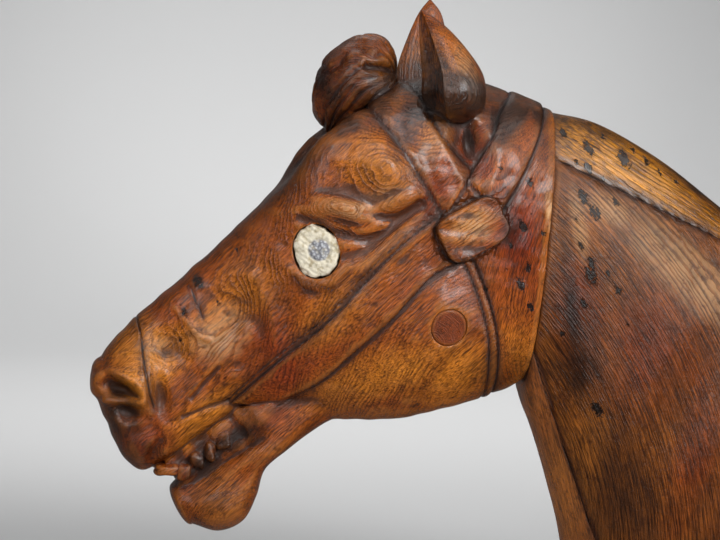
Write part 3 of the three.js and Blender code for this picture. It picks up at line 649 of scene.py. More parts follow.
def melt(mesh, zones, rounds):
    """Evens out the skin inside side-view ovals: each round moves a place half way to its
    neighbours' mean, by the oval's strength there."""
    places, edges, _ = mesh_arrays(mesh)
    share = sum(s * np.sqrt(form(places[:, 0], places[:, 2], at, size, tilt)) for at, size, tilt, s in zones)
    for _ in range(rounds):
        places += (neighbour_mean(places, edges) - places) * (0.5 * np.clip(share, 0, 1))[:, None]
    mesh.vertices.foreach_set("co", (places * MM).ravel())
    mesh.update()


def add_value(mesh, name, values):
    layer = mesh.attributes.new(name, "FLOAT", "POINT")
    layer.data.foreach_set("value", values.astype(np.float32))


def add_hollows(mesh, rounds=(4, 24, 90)):
    """Stores how far each place lies below its surroundings, in millimetres, at a small, a
    middle and a large reach: the normal part of (mean of the neighbourhood - place)."""
    places, edges, normals = mesh_arrays(mesh)
    around, done = places.copy(), 0
    for name, goal in zip(("hollow_small", "hollow_middle", "hollow_large"), rounds):
        for _ in range(goal - done):
            around = 0.5 * (around + neighbour_mean(around, edges))
        done = goal
        add_value(mesh, name, ((around - places) * normals).sum(axis=1))


def add_grain(mesh, grain):
    """Stores where each place lies in the wood, in millimetres: across the fibres in side
    view, through the board, and along the fibres."""
    layer = mesh.attributes.new("grain", "FLOAT_VECTOR", "POINT")
    layer.data.foreach_set("vector", grain(*mesh_arrays(mesh)[0].T).astype(np.float32).ravel())


def straight_grain(x, y, z, lean, pith):
    """Fibres that rise by the angle lean towards +X, counted from the pith's line."""
    c, s = math.cos(math.radians(lean)), math.sin(math.radians(lean))
    x, z = x - pith[0], z - pith[1]
    return np.stack([z * c - x * s, y, x * c + z * s], axis=-1)


def bent_grain(x, y, z, centre, pith):
    """Fibres along arcs round a centre: across is the radius less the pith's radius."""
    x, z = x - centre[0], z - centre[1]
    return np.stack([np.hypot(x, z) - pith, y, pith * np.arctan2(z, x)], axis=-1)


def in_ear(x, y, z):
    """True inside either ear's own ellipses, made 1 mm larger."""
    inside = np.zeros(x.shape, bool)
    for table in (np.array(rows) for rows in EARS.values()):
        middle_x, middle_y, broad, thick = (np.interp(z, table[:, 2], table[:, k]) for k in (0, 1, 3, 4))
        off = ((x - middle_x) / (broad + 1)) ** 2 + ((y - middle_y) / (thick + 1)) ** 2
        inside |= (off < 1.15) & (z > table[0, 2] + 3)
    return inside


def in_forelock(x, y, z):
    """True inside the lock: its offset from the nearest place of the middle line over the
    half thickness, and its y over the half breadth, lie within a unit circle."""
    nearest, off = np.full(x.shape, np.inf), np.full(x.shape, np.inf)
    for at_x, at_z, thick, broad in course(FORELOCK, np.linspace(0.03, 0.97, 40)):
        distance = np.hypot(x - at_x, z - at_z)
        here = (distance / (LOCK_ROOT * thick + 1)) ** 2 + (y / (broad + 1)) ** 2
        nearest, off = np.where(distance < nearest, (distance, here), (nearest, off))
    return off < 1.1


def head_grain(x, y, z):
    """The block's fibres run from poll to muzzle. Behind the bridle they stand upright, in the
    ears they run to the tips, and in the forelock they follow its strands."""
    grain = straight_grain(x, y, z, 42, (-457, 302))
    edge = np.array(STRAPS["throat strap"][1][:0:-1] + STRAPS["crownpiece"][0][::-1])
    strands = np.stack([30 * (np.arctan2(z - LOCK_REAR[1], x - LOCK_REAR[0]) % (2 * np.pi)), y,
                        np.hypot(x - LOCK_LOW[0], z - LOCK_LOW[1])], axis=-1)
    on_boss = form(x, z, BOSS["at"], (BOSS["size"][0] + 5, BOSS["size"][1] + 4), BOSS["tilt"]) > 0
    for inside, own in (
        (x > np.interp(z, edge[:, 1], edge[:, 0]), straight_grain(x, y, z, 76, (-300, 300))),
        (on_boss, straight_grain(x, y, z, 30, (-241, 330))),
        (in_ear(x, y, z), straight_grain(x, y, z, 98, (-236, 512))),
        (in_forelock(x, y, z), strands),
    ):
        grain = np.where(inside[:, None], own, grain)
    return grain


pocket_profile = [(h, 0) for h in np.linspace(-EYE["depth"], 14, 8)]
plug_profile = [(h, 0) for h in np.linspace(-PLUG["depth"] - 0.3, 20, 8)]
pocket = slab(EYE["at"], tuple(s + 0.6 for s in EYE["size"]), EYE["tilt"], pocket_profile, 2.1)
plug_hole = slab(PLUG["at"], (PLUG["radius"] + 0.1,) * 2, 0, plug_profile, 2)
holes = [closed_mesh("hole", p * (1, s, 1), "point") for p in (pocket, plug_hole) for s in (1, -1)]

blank = one_solid("blank", head_shells)
rub_over(blank.data, 6, 0.5, [(-160, 520), (-190, 245)])
melt(blank.data, [((-378, 236), (42, 20), 30, 1.0), ((-352, 240), (24, 16), 20, 1.0)], 40)
head = one_solid("head_block_carved", [blank.data], holes)
bpy.data.objects.remove(blank)
head.data.shade_smooth()
add_hollows(head.data)
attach(head, "root")
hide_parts("head_block")

# ---------------------------------------------------------------------------- old varnished wood
# The finish that every board shares: softwood whose hard growth rings stand proud after long
# weathering, under an old amber varnish worn thin on the high places. Dark lines run down the
# cuts with a painted shadow beside them, hollows get dirt and painted shade, and listed zones
# get grime with painted shade or a pale painted sheen.


def shade(red, green, blue):
    """A colour given as 0-255 display values, as the linear colour that shaders take."""
    return tuple(((c / 255 + 0.055) / 1.055) ** 2.4 if c > 10 else c / 255 / 12.92
                 for c in (red, green, blue)) + (1.0,)


class Value:
    """An output socket that can be added, subtracted, multiplied and divided like a number."""

    def __init__(self, socket):
        self.socket, self.tree = socket, socket.id_data

    def math(self, operation, *others):
        return put(self.tree, "Math", dict(enumerate((self, *others))), operation=operation)

    def __add__(self, other):
        return self.math("ADD", other)

    def __sub__(self, other):
        return self.math("SUBTRACT", other)

    def __mul__(self, other):
        return self.math("MULTIPLY", other)

    def __truediv__(self, other):
        return self.math("DIVIDE", other)

    def other(self, output):
        """Another output of the same node."""
        return Value(self.socket.node.outputs[output])


def join(value, socket):
    value.tree.links.new(value.socket, socket)


def put(tree, kind, sockets, output=0, **settings):
    """A new node's output. The node gets its settings, and each named input is set to a number
    or linked to a Value."""
    node = tree.nodes.new("ShaderNode" + kind)
    for name, value in settings.items():
        setattr(node, name, value)
    for name, value in sockets.items():
        if isinstance(value, Value):
            join(value, node.inputs[name])
        else:
            node.inputs[name].default_value = value
    return Value(node.outputs[output])


def node_group(name, inputs, outputs):
    """A shader node group with named sockets: its tree, its inputs by name and the sockets of
    its outputs. inputs are (name, default), a number or a colour, or None for a vector."""
    tree = bpy.data.node_groups.new(name, "ShaderNodeTree")
    for label, value in inputs:
        kind = "Vector" if value is None else "Color" if isinstance(value, tuple) else "Float"
        socket = tree.interface.new_socket(label, in_out="INPUT", socket_type="NodeSocket" + kind)
        if value is not None:
            socket.default_value = value
    for label, kind in outputs:
        tree.interface.new_socket(label, in_out="OUTPUT", socket_type="NodeSocket" + kind)
    given = tree.nodes.new("NodeGroupInput").outputs
    return tree, {label: Value(given[label]) for label, _ in inputs}, tree.nodes.new("NodeGroupOutput").inputs


def noise(vector, size, detail=2.0, rough=0.5):
    """Smooth noise between 0 and 1 whose lumps are about size long, in the vector's unit."""
    sockets = {"Vector": vector, "Scale": 1 / size, "Detail": detail, "Roughness": rough}
    return put(vector.tree, "TexNoise", sockets, "Fac")


def between(value, low, high, start=0.0, end=1.0):
    """start where the value is low, end where it is high, and a smooth step between."""
    sockets = {"Value": value, "From Min": low, "From Max": high, "To Min": start, "To Max": end}
    return put(value.tree, "MapRange", sockets, interpolation_type="SMOOTHSTEP")


def blend(share, first, second, how="MIX"):
    """The second colour over the first by share. A Mix node's colours are its inputs 6 and 7."""
    tree = next(v.tree for v in (share, first, second) if isinstance(v, Value))
    return put(tree, "Mix", {0: share, 6: first, 7: second}, 2, data_type="RGBA", blend_type=how)


def stored(tree, name):
    return put(tree, "Attribute", {}, "Fac", attribute_name=name)


def split(vector):
    first = put(vector.tree, "SeparateXYZ", {0: vector})
    return first, first.other(1), first.other(2)


def merge(x, y=0, z=0):
    return put(x.tree, "CombineXYZ", {0: x, 1: y, 2: z})


# Growth rings lie round the pith: their count is the distance from it over the spacing, with
# Slope the weight of the way across and Core a rounding of the innermost ones. Slow swirl
# bends them, so that every hollow and roll shows its contours.
rings_tree, rings_in, rings_out = node_group(
    "growth_rings",
    [("Grain", None), ("Spacing", 1.2), ("Slope", 0.7), ("Core", 12.0), ("Swirl", 9.0)],
    [("Late Wood", "Float"), ("Tone", "Float")],
)
across, through, along = split(rings_in["Grain"])
sloped, core = across * rings_in["Slope"], rings_in["Core"]
radius = (core * core + sloped * sloped + through * through).math("SQRT")
flow = merge(across, through, along * 0.5)
radius = radius + (noise(flow, 60, 1.0) - 0.5) * rings_in["Swirl"] + (noise(flow, 7, 2.0) - 0.5) * 1.8
turns = radius / rings_in["Spacing"]
turns = turns + (turns * 1.1).math("SINE") * 0.35
saw = turns.math("FRACT")
join(between(saw, 0.3, 0.85) * between(saw, 0.88, 1.0, 1.0, 0.0), rings_out["Late Wood"])
join(noise(merge(turns), 4, 1.0), rings_out["Tone"])

# Fibres: noise drawn out along the grain, and short dark dashes where it is strongest.
fibre_tree, fibre_in, fibre_out = node_group(
    "fibres",
    [("Grain", None), ("Width", 0.8), ("Length", 16.0)],
    [("Streak", "Float"), ("Dashes", "Float")],
)
across, through, along = split(fibre_in["Grain"])
drawn = merge(across / fibre_in["Width"], through / fibre_in["Width"], along / fibre_in["Length"])
join(noise(drawn, 1, 3.0, 0.65), fibre_out["Streak"])
join(between(noise(drawn, 1.8, 1.0), 0.58, 0.66), fibre_out["Dashes"])

# Age: dirt and painted shade in hollows, a dark line down each cut with a painted shadow beside
# it, grime and painted shade in the stored zones, wear on the edges, a pale painted sheen that
# keeps only the late wood dark, and pits, both scattered and at the stored spots. Vector is in
# metres.
age_tree, age_in, age_out = node_group(
    "age",
    [("Vector", None), ("Color", (0.3, 0.15, 0.06, 1.0)), ("Late Wood", 0.0),
     ("Dirt And Hollow Shade", 1.0), ("Wear", 1.0), ("Pits", 1.0), ("Dull", 0.25)],
    [("Color", "Color"), ("Roughness", "Float"), ("Height", "Float")],
)
milli = put(age_tree, "VectorMath", {0: age_in["Vector"], "Scale": 1000.0}, operation="SCALE")
small, middle, large, cuts, stored_grime_and_shade, spots, pitted, painted_sheen = (stored(age_tree, name) for name in (
    "hollow_small", "hollow_middle", "hollow_large", "cut", "grime_and_shade", "spots", "pitted", "painted_sheen",
))
patchy = noise(milli, 22, 4.0, 0.6)
fine = noise(milli, 2.5, 3.0, 0.6)
# Dirt and painted shade: darker where the skin lies below its surroundings, in creases, cuts and recesses.
deep = small * 3 + middle * 0.9 + large * 0.16 + (patchy - 0.5) * 0.9 + (fine - 0.5) * 0.6
dirt_and_hollow_shade = between(deep, 0.1, 1.3) * age_in["Dirt And Hollow Shade"]
line = between(cuts + (fine - 0.5), 0.2, 1.2, 1.0, 0.0) * between(patchy, 0.3, 0.6, 0.55, 1.0)
# Grime and painted shade: the stored dark zones, broken up by noise.
grime_and_shade = stored_grime_and_shade * between(patchy, 0.25, 0.6, 0.45, 1.0)
worn = between((patchy - 0.5) * 0.8 - small * 4 - middle * 0.5, 0.3, 1.4) * age_in["Wear"]
stain = between(noise(milli, 8, 4.0, 0.7), 0.52, 0.68)
# Painted shadow: a soft dark band beside each knife line.
beside = between(cuts - patchy * 7, -3.5, 4.0, 0.6, 0.0)
cells = put(age_tree, "TexVoronoi", {"Vector": milli, "Scale": 1 / 11.0, "Randomness": 1.0}, "Distance")
chance = put(age_tree, "SeparateColor", {0: cells.other("Color")})
pit = between(chance * 0.26 - 0.08 - fine * 0.12 - cells, -0.06, 0.02) * age_in["Pits"] * pitted
pit = pit.math("MAXIMUM", between(spots + (fine - 0.5) * 2, 0.5, 0.75))
# Painted sheen: a pale tint where highlights lie, kept off the late wood.
painted_sheen = painted_sheen * between(patchy, 0.3, 0.65, 0.5, 1.0) * between(age_in["Late Wood"], 0.0, 0.8, 1.0, 0.3)
aged = age_in["Color"]
# Tints in turn: wear, painted sheen, stains, painted shadow beside the cuts, dirt and hollow shade, grime and
# painted shade, the dark cut lines, and pits.
for share, tint in (
    (worn * 0.25, (190, 120, 52)), (painted_sheen * 0.85, (194, 152, 106)), (stain * 0.6, (58, 26, 10)),
    (beside, (54, 24, 12)), (dirt_and_hollow_shade * 0.8, (52, 26, 14)), (grime_and_shade * 0.9, (24, 15, 12)),
    (line * 0.85, (20, 11, 8)), (pit * 0.95, (14, 8, 5)),
):
    aged = blend(share, aged, shade(*tint))
join(aged, age_out["Color"])
dull = dirt_and_hollow_shade.math("MAXIMUM", line) * 0.2 + age_in["Dull"] + painted_sheen * 0.12 + (patchy - 0.5) * 0.2
join(dull, age_out["Roughness"])
join(patchy * 0.7 + fine * 0.5 - line * 0.7 - pit * 0.8, age_out["Height"])


def wood_material(name, colours, rings, fibre, age, late_share, coat=(0.1, 0.13), gloss=0.38):
    """A board's wood. colours are (plain, golden, red, late wood); rings are the spacing, the
    slope, core and swirl; fibre is the width and length; age is the dirt and painted hollow
    shade, wear, pits and dullness; coat is the varnish's weight and roughness.
    The stored golden and red zones, the rings and the fibres tint the plain colour in turn."""
    material = bpy.data.materials.new(name)
    material.use_nodes = True
    tree = material.node_tree
    surface = tree.nodes["Principled BSDF"].inputs
    place = put(tree, "TexCoord", {}, "Object")
    grain = put(tree, "Attribute", {}, "Vector", attribute_name="grain")
    late_wood, streak, aged = (
        put(tree, "Group", {0: source, **dict(zip(names, values))}, node_tree=group)
        for group, source, names, values in (
            (rings_tree, grain, ("Spacing", "Slope", "Core", "Swirl"), rings),
            (fibre_tree, grain, ("Width", "Length"), fibre),
            (age_tree, place, ("Dirt And Hollow Shade", "Wear", "Pits", "Dull"), age),
        )
    )
    plain, golden, red, late = (shade(*c) for c in colours)
    broad = noise(place, 0.045, 3.0, 0.55)
    clear = between(noise(place, 0.03, 2.0), 0.35, 0.65, 0.15, 1.0)
    bright = between(streak, 0.32, 0.68, 0.3, 1.6)
    colour = blend(stored(tree, "golden") * between(broad, 0.3, 0.6, 0.5, 1.0), plain, golden)
    colour = blend(stored(tree, "red") * between(broad, 0.35, 0.65, 1.0, 0.5), colour, red)
    colour = blend(between(late_wood.other("Tone"), 0.35, 0.7, 0.0, 0.3), colour, late)
    colour = blend(late_wood * clear * late_share, colour, late)
    grey = put(tree, "CombineColor", {0: bright, 1: bright, 2: bright})
    colour = blend(1.0, colour, grey, "MULTIPLY")
    colour = blend(streak.other("Dashes") * 0.7, colour, late)
    join(colour, aged.socket.node.inputs["Color"])
    join(late_wood, aged.socket.node.inputs["Late Wood"])
    join(aged, surface["Base Color"])
    join(aged.other("Roughness"), surface["Roughness"])
    height = aged.other("Height") + late_wood * 0.35 + streak * 0.8
    join(put(tree, "Bump", {"Height": height, "Strength": 1.0, "Distance": 0.0007}), surface["Normal"])
    surface["Coat Weight"].default_value, surface["Coat Roughness"].default_value = coat
    surface["Specular IOR Level"].default_value = gloss
    return material


# Zones of the head's colour: middle, half sizes, tilt and strength, fading to their rims.
HEAD_GOLDEN = [
    ((-314, 438), (44, 32), -30, 0.7), ((-506, 296), (28, 44), 30, 0.9), ((-500, 266), (34, 22), 40, 0.9),
    ((-455, 236), (52, 18), 38, 0.9), ((-482, 292), (26, 26), 0, 0.8), ((-330, 340), (80, 26), 42, 0.6),
    ((-330, 268), (70, 26), 20, 0.9), ((-256, 272), (50, 34), 10, 0.8), ((-266, 466), (20, 26), -30, 1.0),
    ((-440, 176), (26, 26), 0, 0.5), ((-196, 300), (22, 46), 10, 0.6), ((-250, 392), (26, 18), 27, 0.7),
    ((-430, 330), (60, 30), 40, 0.5), ((-257, 520), (24, 34), 10, 0.6), ((-300, 515), (30, 16), 20, 0.4),
]
HEAD_RED = [
    ((-200, 366), (30, 80), 5, 1.0), ((-236, 450), (20, 34), 10, 0.9), ((-494, 218), (34, 24), 40, 0.8),
    ((-398, 290), (34, 40), 40, 0.7), ((-276, 410), (26, 20), 0, 0.7), ((-262, 432), (26, 22), -30, 0.5),
    ((-300, 352), (60, 20), 42, 0.5), ((-380, 262), (60, 22), 40, 0.5), ((-470, 190), (30, 16), 40, 0.7),
    ((-340, 500), (30, 40), 0, 0.7), ((-240, 340), (24, 40), 0, 0.4), ((-470, 330), (50, 20), 42, 0.4),
]
# Grime, and painted shade in the mouth, nostrils, under the jaw, below the ears and over the top of the
# skull.
HEAD_GRIME_AND_SHADE = [
    ((-200, 500), (60, 34), -10, 1.0), ((-276, 502), (34, 30), -20, 1.0),
    ((-250, 446), (12, 34), 20, 0.6), ((-206, 392), (14, 46), 5, 0.7),
    ((-214, 470), (14, 44), -28, 0.6), ((-346, 470), (22, 12), 0, 0.7),
    ((-516, 246), (14, 30), 20, 0.8), ((-412, 232), (12, 22), 25, 0.8), ((-239, 460), (9, 16), 0, 1.0),
    ((-262, 370), (14, 12), 0, 0.5), ((-424, 216), (22, 12), 40, 0.5),
    ((-352, 500), (12, 40), 20, 0.5), ((-268, 520), (8, 40), 10, 0.6), ((-176, 470), (10, 60), 5, 0.5),
    ((-320, 478), (34, 12), 30, 0.4), ((-446, 206), (44, 15), 40, 1.1),
    ((-325, 505), (40, 50), 40, 0.9), ((-256, 488), (34, 26), 0, 0.9),
    ((-400, 412), (60, 12), 44, 0.4), ((-372, 440), (50, 18), 44, 0.5),
    ((-215, 270), (40, 24), 0, 0.5), ((-290, 470), (14, 34), -30, 0.8),
    ((-517, 234), (18, 34), 10, 0.7), ((-500, 206), (26, 18), 30, 0.6),
    ((-448, 170), (36, 26), 0, 0.4), ((-205, 478), (16, 36), -26, 0.8),
    ((-280, 440), (14, 24), -30, 0.5), ((-250, 485), (40, 18), 0, 0.6), ((-455, 346), (6, 8), 0, 1.4),
    ((-466, 322), (8, 4), 30, 0.9), ((-461, 305), (12, 3), 20, 0.6),
]
# Painted sheen: pale patches laid where highlights fall on the brow, nose, boss, ear and crown.
HEAD_PAINTED_SHEEN = [
    ((-340, 404), (32, 9), -14, 0.5), ((-312, 414), (26, 10), 20, 0.35),
    ((-440, 305), (30, 26), 40, 0.6), ((-174, 400), (5, 24), 6, 1.0), ((-246, 512), (10, 30), 14, 0.6),
    ((-205, 470), (12, 30), -26, 0.15), ((-490, 292), (16, 16), 0, 0.4),
    ((-274, 448), (12, 20), -30, 0.3), ((-240, 390), (24, 15), 27, 0.75),
]
HEAD_SPOTS = [  # dark pits: middle and radius
    (-191, 425, 4), (-198, 391, 5), (-193, 357, 4), (-199, 343, 5), (-190, 325, 4), (-208, 375, 3),
    (-455, 346, 5), (-466, 322, 3), (-425, 372, 2), (-440, 330, 2), (-470, 300, 2), (-180, 384, 3),
    (-216, 436, 3), (-228, 340, 3),
]
HEAD_PITTED = [
    ((-196, 380), (40, 70), 0, 1.0), ((-226, 440), (40, 40), 0, 0.5), ((-455, 320), (40, 30), 0, 0.35),
]


def pits(spots):
    return [((x, z), (radius, 1.7 * radius), 25, 1.0) for x, z, radius in spots]


def add_zones(mesh, zones, cuts):
    """Stores each named list of zones as a sum of rounded forms, limited to 1, and the distance
    in side view to the nearest knife line."""
    places = mesh_arrays(mesh)[0]
    x, z = places[:, 0], places[:, 2]
    for name, table in zones.items():
        total = sum((s * np.sqrt(form(x, z, at, size, tilt)) for at, size, tilt, s in table), 0 * x)
        add_value(mesh, name, np.clip(total, 0, 1))
    near = np.minimum.reduce([np.full(x.shape, 30.0)] + [line_distance(x, z, line) for line in cuts])
    add_value(mesh, "cut", near)


# The knife lines stop below the hair, the first one lower, and one more runs ahead of the cheekpiece.
strap_cuts = [smooth_line(edge) for pair in STRAPS.values() for edge in pair]
strap_cuts = [line[line[:, 1] < (486 if i == 0 else 500)] for i, line in enumerate(strap_cuts)]
strap_cuts.append(smooth_line(STRAPS["cheekpiece"][0]) + (-2.8, 3.0))
crack_lines = [smooth_line(c) for c in CRACKS]
crack_lines.append(foot_line(BOSS["at"], BOSS["size"], BOSS["tilt"], 1.5))
head_zones = {
    "golden": HEAD_GOLDEN, "red": HEAD_RED, "grime_and_shade": HEAD_GRIME_AND_SHADE,
    "spots": pits(HEAD_SPOTS), "pitted": HEAD_PITTED, "painted_sheen": HEAD_PAINTED_SHEEN,
}
add_zones(head.data, head_zones, strap_cuts + crack_lines)
add_grain(head.data, head_grain)
head.data.materials.append(wood_material(
    "head_wood",
    [(138, 68, 17), (186, 112, 30), (122, 40, 12), (48, 20, 8)],
    (1.6, 0.7, 12.0, 8.0), (0.55, 9.0), (1.0, 1.0, 1.0, 0.19), 0.62,
))

# ---------------------------------------------------------------------------- eye fillings
# Each eye is lost and its pocket is filled with off-white putty, pressed in by hand: a ragged
# outline, a grey pebbly middle and a rough face.

FILLING_MIDDLE = {"at": (-362, 372), "radius": 8.5}


def filling_points():
    """Rings of the filling: an uneven oval pressed to a low dome, its rim ragged by waves
    round the outline, with a ring-shaped dent round its middle and a rough face."""
    up_to = np.linspace(0.1, 1.54, 40)
    radius = np.concatenate([np.full(6, 1.0), np.cos(up_to)])[:, None]
    height = np.concatenate([np.linspace(-EYE["depth"] + 0.5, 0, 6), 2.0 * np.sin(up_to) ** 0.8])[:, None]
    middle, along, up, out = place_on_head(EYE["at"])
    turn = np.linspace(0, 2 * np.pi, 120, endpoint=False)[None]
    rim = 1 + 0.035 * np.sin(3 * turn + 2) + 0.03 * np.sin(5 * turn + 1)
    rim += 0.02 * np.sin(11 * turn + 4) + 0.012 * np.sin(23 * turn)
    half_x, half_z = ((size - 0.3) * radius * rim for size in EYE["size"])
    u, v = oblong(half_x, half_z, turn, EYE["tilt"], 1)
    points = middle + u[..., None] * along + v[..., None] * up + height[..., None] * out
    rough = 0.4 * waves(points, 9, 21) + 0.25 * waves(points, 3.5, 22)
    off = np.hypot(points[..., 0] - FILLING_MIDDLE["at"][0], points[..., 2] - FILLING_MIDDLE["at"][1])
    rough -= 1.0 * np.exp(-(((off - FILLING_MIDDLE["radius"]) / 1.3) ** 2))
    return points + out * (rough * (height > 0))[..., None]


filling = filling_points()
putty = bpy.data.materials.new("putty")
putty.use_nodes = True
tree = putty.node_tree
surface = tree.nodes["Principled BSDF"].inputs
place = put(tree, "TexCoord", {}, "Object")
mottled = noise(place, 0.005, 4.0, 0.6)
pebbles = put(tree, "TexVoronoi", {"Vector": place, "Scale": 420.0}, "Distance")
pale = blend(between(mottled, 0.3, 0.6), shade(160, 146, 116), shade(204, 196, 176))
grey = blend(between(pebbles, 0.2, 0.7), shade(172, 174, 178), shade(108, 108, 114))
pale = blend(stored(tree, "middle") * between(mottled, 0.3, 0.55, 0.4, 1.0), pale, grey)
pale = blend(stored(tree, "rim") * between(mottled, 0.4, 0.6, 0.9, 0.3), pale, shade(116, 84, 56))
join(pale, surface["Base Color"])
lumps = mottled - pebbles * stored(tree, "middle") * 0.7
join(put(tree, "Bump", {"Height": lumps, "Distance": 0.001}), surface["Normal"])
surface["Roughness"].default_value = 0.8
for word, side in (("left", 1), ("right", -1)):
    piece = linked("putty_" + word, closed_mesh("putty", filling * (1, side, 1), "point"))
    piece.data.shade_smooth()
    places = mesh_arrays(piece.data)[0]
    off = np.hypot(places[:, 0] - FILLING_MIDDLE["at"][0], places[:, 2] - FILLING_MIDDLE["at"][1])
    add_value(piece.data, "middle", 1 - ease(off, FILLING_MIDDLE["radius"] - 1, FILLING_MIDDLE["radius"] + 1))
    inward = form(places[:, 0], places[:, 2], EYE["at"], EYE["size"], EYE["tilt"])
    add_value(piece.data, "rim", 1 - ease(inward, 0.0, 0.035))
    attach(piece, "root")
    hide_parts("eye_filling_" + word)
    piece.data.materials.append(putty)

# ---------------------------------------------------------------------------- cheek plugs
# A round plug of the same wood let into each cheek, its end grain dark and a hair low.


def plug_points():
    """A turned plug whose face follows the cheek: rings of a circle, drawn in to the middle."""
    profile = [(-PLUG["depth"], 0), (-8, 0), (-2, 0)]
    for edge, inset in zip([1, 0.5] + 14 * [0], np.linspace(0.3, PLUG["radius"] - 0.5, 16)):
        profile.append((-0.3 - 0.5 * edge, 0.6 * edge + inset))  # edge is 1 at the rim of the face
    return slab(PLUG["at"], (PLUG["radius"] - 0.1,) * 2, 0, profile, 2)


plug_wood = wood_material(
    "plug_wood", [(122, 54, 16), (150, 80, 30), (112, 44, 14), (70, 28, 10)],
    (1.4, 1.0, 2.0, 5.0), (0.7, 3.0), (1.0, 0.6, 0.0, 0.3), 0.4,
)
for word, side in (("left", 1), ("right", -1)):
    piece = linked("plug_" + word, closed_mesh("plug", plug_points() * (1, side, 1), "point"))
    piece.data.shade_smooth()
    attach(piece, "root")
    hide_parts("cheek_plug_" + word)
    add_hollows(piece.data)
    add_zones(piece.data, {n: [] for n in head_zones}, [])
    add_grain(piece.data, lambda x, y, z: np.stack([x + 275, z - 296, y], axis=-1))
    piece.data.materials.append(plug_wood)

# ---------------------------------------------------------------------------- neck boards
# The neck is three boards glued together: a thick core, a yellow board along the crest and a
# narrow one down the throat. The whole is shaped as one form, and open glue lines show.

NECK_RINGS = [
    (180, 0, -180, 0, 90, 0.50, 2.3, 2.3, 0),
    (165, 88, -154, 42, 87, 0.55, 2.2, 2.3, 0),
    (145, 172, -147, 78, 83, 0.58, 2.1, 2.3, 0),
    (117, 247, -148, 110, 78, 0.60, 2.0, 2.3, 0),
    (82, 310, -153, 140, 73, 0.60, 1.9, 2.3, 0),
    (38, 363, -161, 170, 68, 0.60, 1.9, 2.3, 0),
    (-14, 402, -169, 198, 63, 0.58, 1.9, 2.3, 0),
    (-68, 443, -177, 222, 58, 0.56, 1.9, 2.3, 0),
    (-122, 473, -184, 240, 54, 0.53, 2.0, 2.4, 0),
    (-164, 483, -189, 257, 51, 0.50, 2.2, 2.5, 0),
]
HEAD_JOINT = [(-164, 485), (-188, 262)]
CREST_JOINT = [(-165, 443), (-28, 379)]
THROAT_JOINT = [(-176, 262), (-132, 128)]


def joint_distance(x, z, joint):
    """Distance from the line through the two points of a joint, above 0 on its left side."""
    (ax, az), (bx, bz) = joint
    return ((bx - ax) * (z - az) - (bz - az) * (x - ax)) / math.hypot(bx - ax, bz - az)


def neck_relief(x, z):
    """A hollow behind the jaw and a bell-shaped cut along each glue line."""
    rise = -5 * form(x, z, (-166, 268), (26, 40), 0) - 2.5 * form(x, z, (-60, 250), (90, 40), 60)
    for joint in (CREST_JOINT, THROAT_JOINT):
        rise -= 1.2 * np.exp(-((joint_distance(x, z, joint) / 1.3) ** 2))
    return rise - 0.7 * np.exp(-((joint_distance(x, z, HEAD_JOINT) / 1.5) ** 2))


def kept_part(mesh, cuts):
    """A copy of the closed mesh with only its part on one side of each joint's plane, moved in
    by the gap, and closed there with flat faces."""
    made = bmesh.new()
    made.from_mesh(mesh)
    for joint, side, gap in cuts:
        (ax, az), (bx, bz) = joint
        away = Vector((az - bz, 0, bx - ax)).normalized() * side
        found = bmesh.ops.bisect_plane(
            made, geom=made.verts[:] + made.edges[:] + made.faces[:], dist=1e-7,
            plane_co=Vector((ax, 0, az)) * MM + away * gap * MM, plane_no=away, clear_inner=True,
        )["geom_cut"]
        rim = [edge for edge in found if isinstance(edge, bmesh.types.BMEdge)]
        bmesh.ops.holes_fill(made, edges=rim, sides=0)
        for edge in rim:
            edge.smooth = False
    bmesh.ops.triangulate(made, faces=[face for face in made.faces if len(face.verts) > 4])
    part = bpy.data.meshes.new("board")
    made.to_mesh(part)
    made.free()
    return part


neck_mesh = closed_mesh("neck", bent_loft(NECK_RINGS, (240, 200), None, neck_relief), "flat")
neck_mesh.shade_smooth()
NECK_SPOTS = [
    (-158, 465, 4), (-138, 453, 6), (-107, 444, 8), (-123, 462, 3), (-140, 436, 5), (-146, 413, 6),
    (-136, 400, 6), (-118, 409, 4), (-149, 374, 3), (-141, 362, 4), (-141, 350, 7), (-127, 352, 3),
    (-119, 338, 4), (-147, 328, 4), (-163, 303, 3), (-136, 243, 6), (-128, 428, 3), (-60, 425, 3),
    (-86, 442, 4), (-150, 442, 3), (-96, 452, 3), (-75, 433, 3), (-112, 310, 2), (-152, 395, 2),
]
NECK_ZONES = {
    "golden": [
        ((-105, 432), (84, 30), -30, 1.0), ((-146, 390), (30, 40), -20, 0.5),
        ((-152, 190), (26, 90), -14, 0.9),
    ],
    "red": [
        ((-90, 290), (60, 70), -40, 0.9), ((-40, 170), (60, 140), -10, 0.3), ((-152, 325), (26, 56), 0, 1.0),
        ((-60, 200), (20, 90), -16, 0.6), ((-30, 418), (40, 14), -35, 1.0),
    ],
    # grime, and painted shade in the hollow behind the jaw and down the lower neck
    "grime_and_shade": [
        ((-150, 262), (30, 30), 0, 0.6), ((-150, 300), (22, 50), 8, 0.6),
        ((-160, 470), (14, 20), 0, 0.6), ((-22, 408), (46, 12), -38, 1.2),
        ((-118, 170), (36, 90), 10, 0.7), ((-40, 60), (90, 90), 0, 0.65),
        ((-158, 345), (8, 60), 5, 0.7), ((-130, 470), (60, 9), -22, 0.8),
        ((-96, 411), (86, 8), -25, 0.8), ((-70, 442), (50, 8), -40, 0.8),
        ((-20, 130), (30, 70), 0, 0.4),
    ],
    "spots": pits(NECK_SPOTS),
    "pitted": [((-90, 430), (90, 34), -30, 0.6), ((-100, 200), (60, 80), 0, 0.2)],
    # painted sheen: a pale band where the highlight runs along the neck
    "painted_sheen": [
        ((-58, 350), (96, 26), -42, 0.5), ((-150, 392), (8, 36), 8, 0.5), ((-128, 404), (26, 14), -30, 0.4),
    ],
}
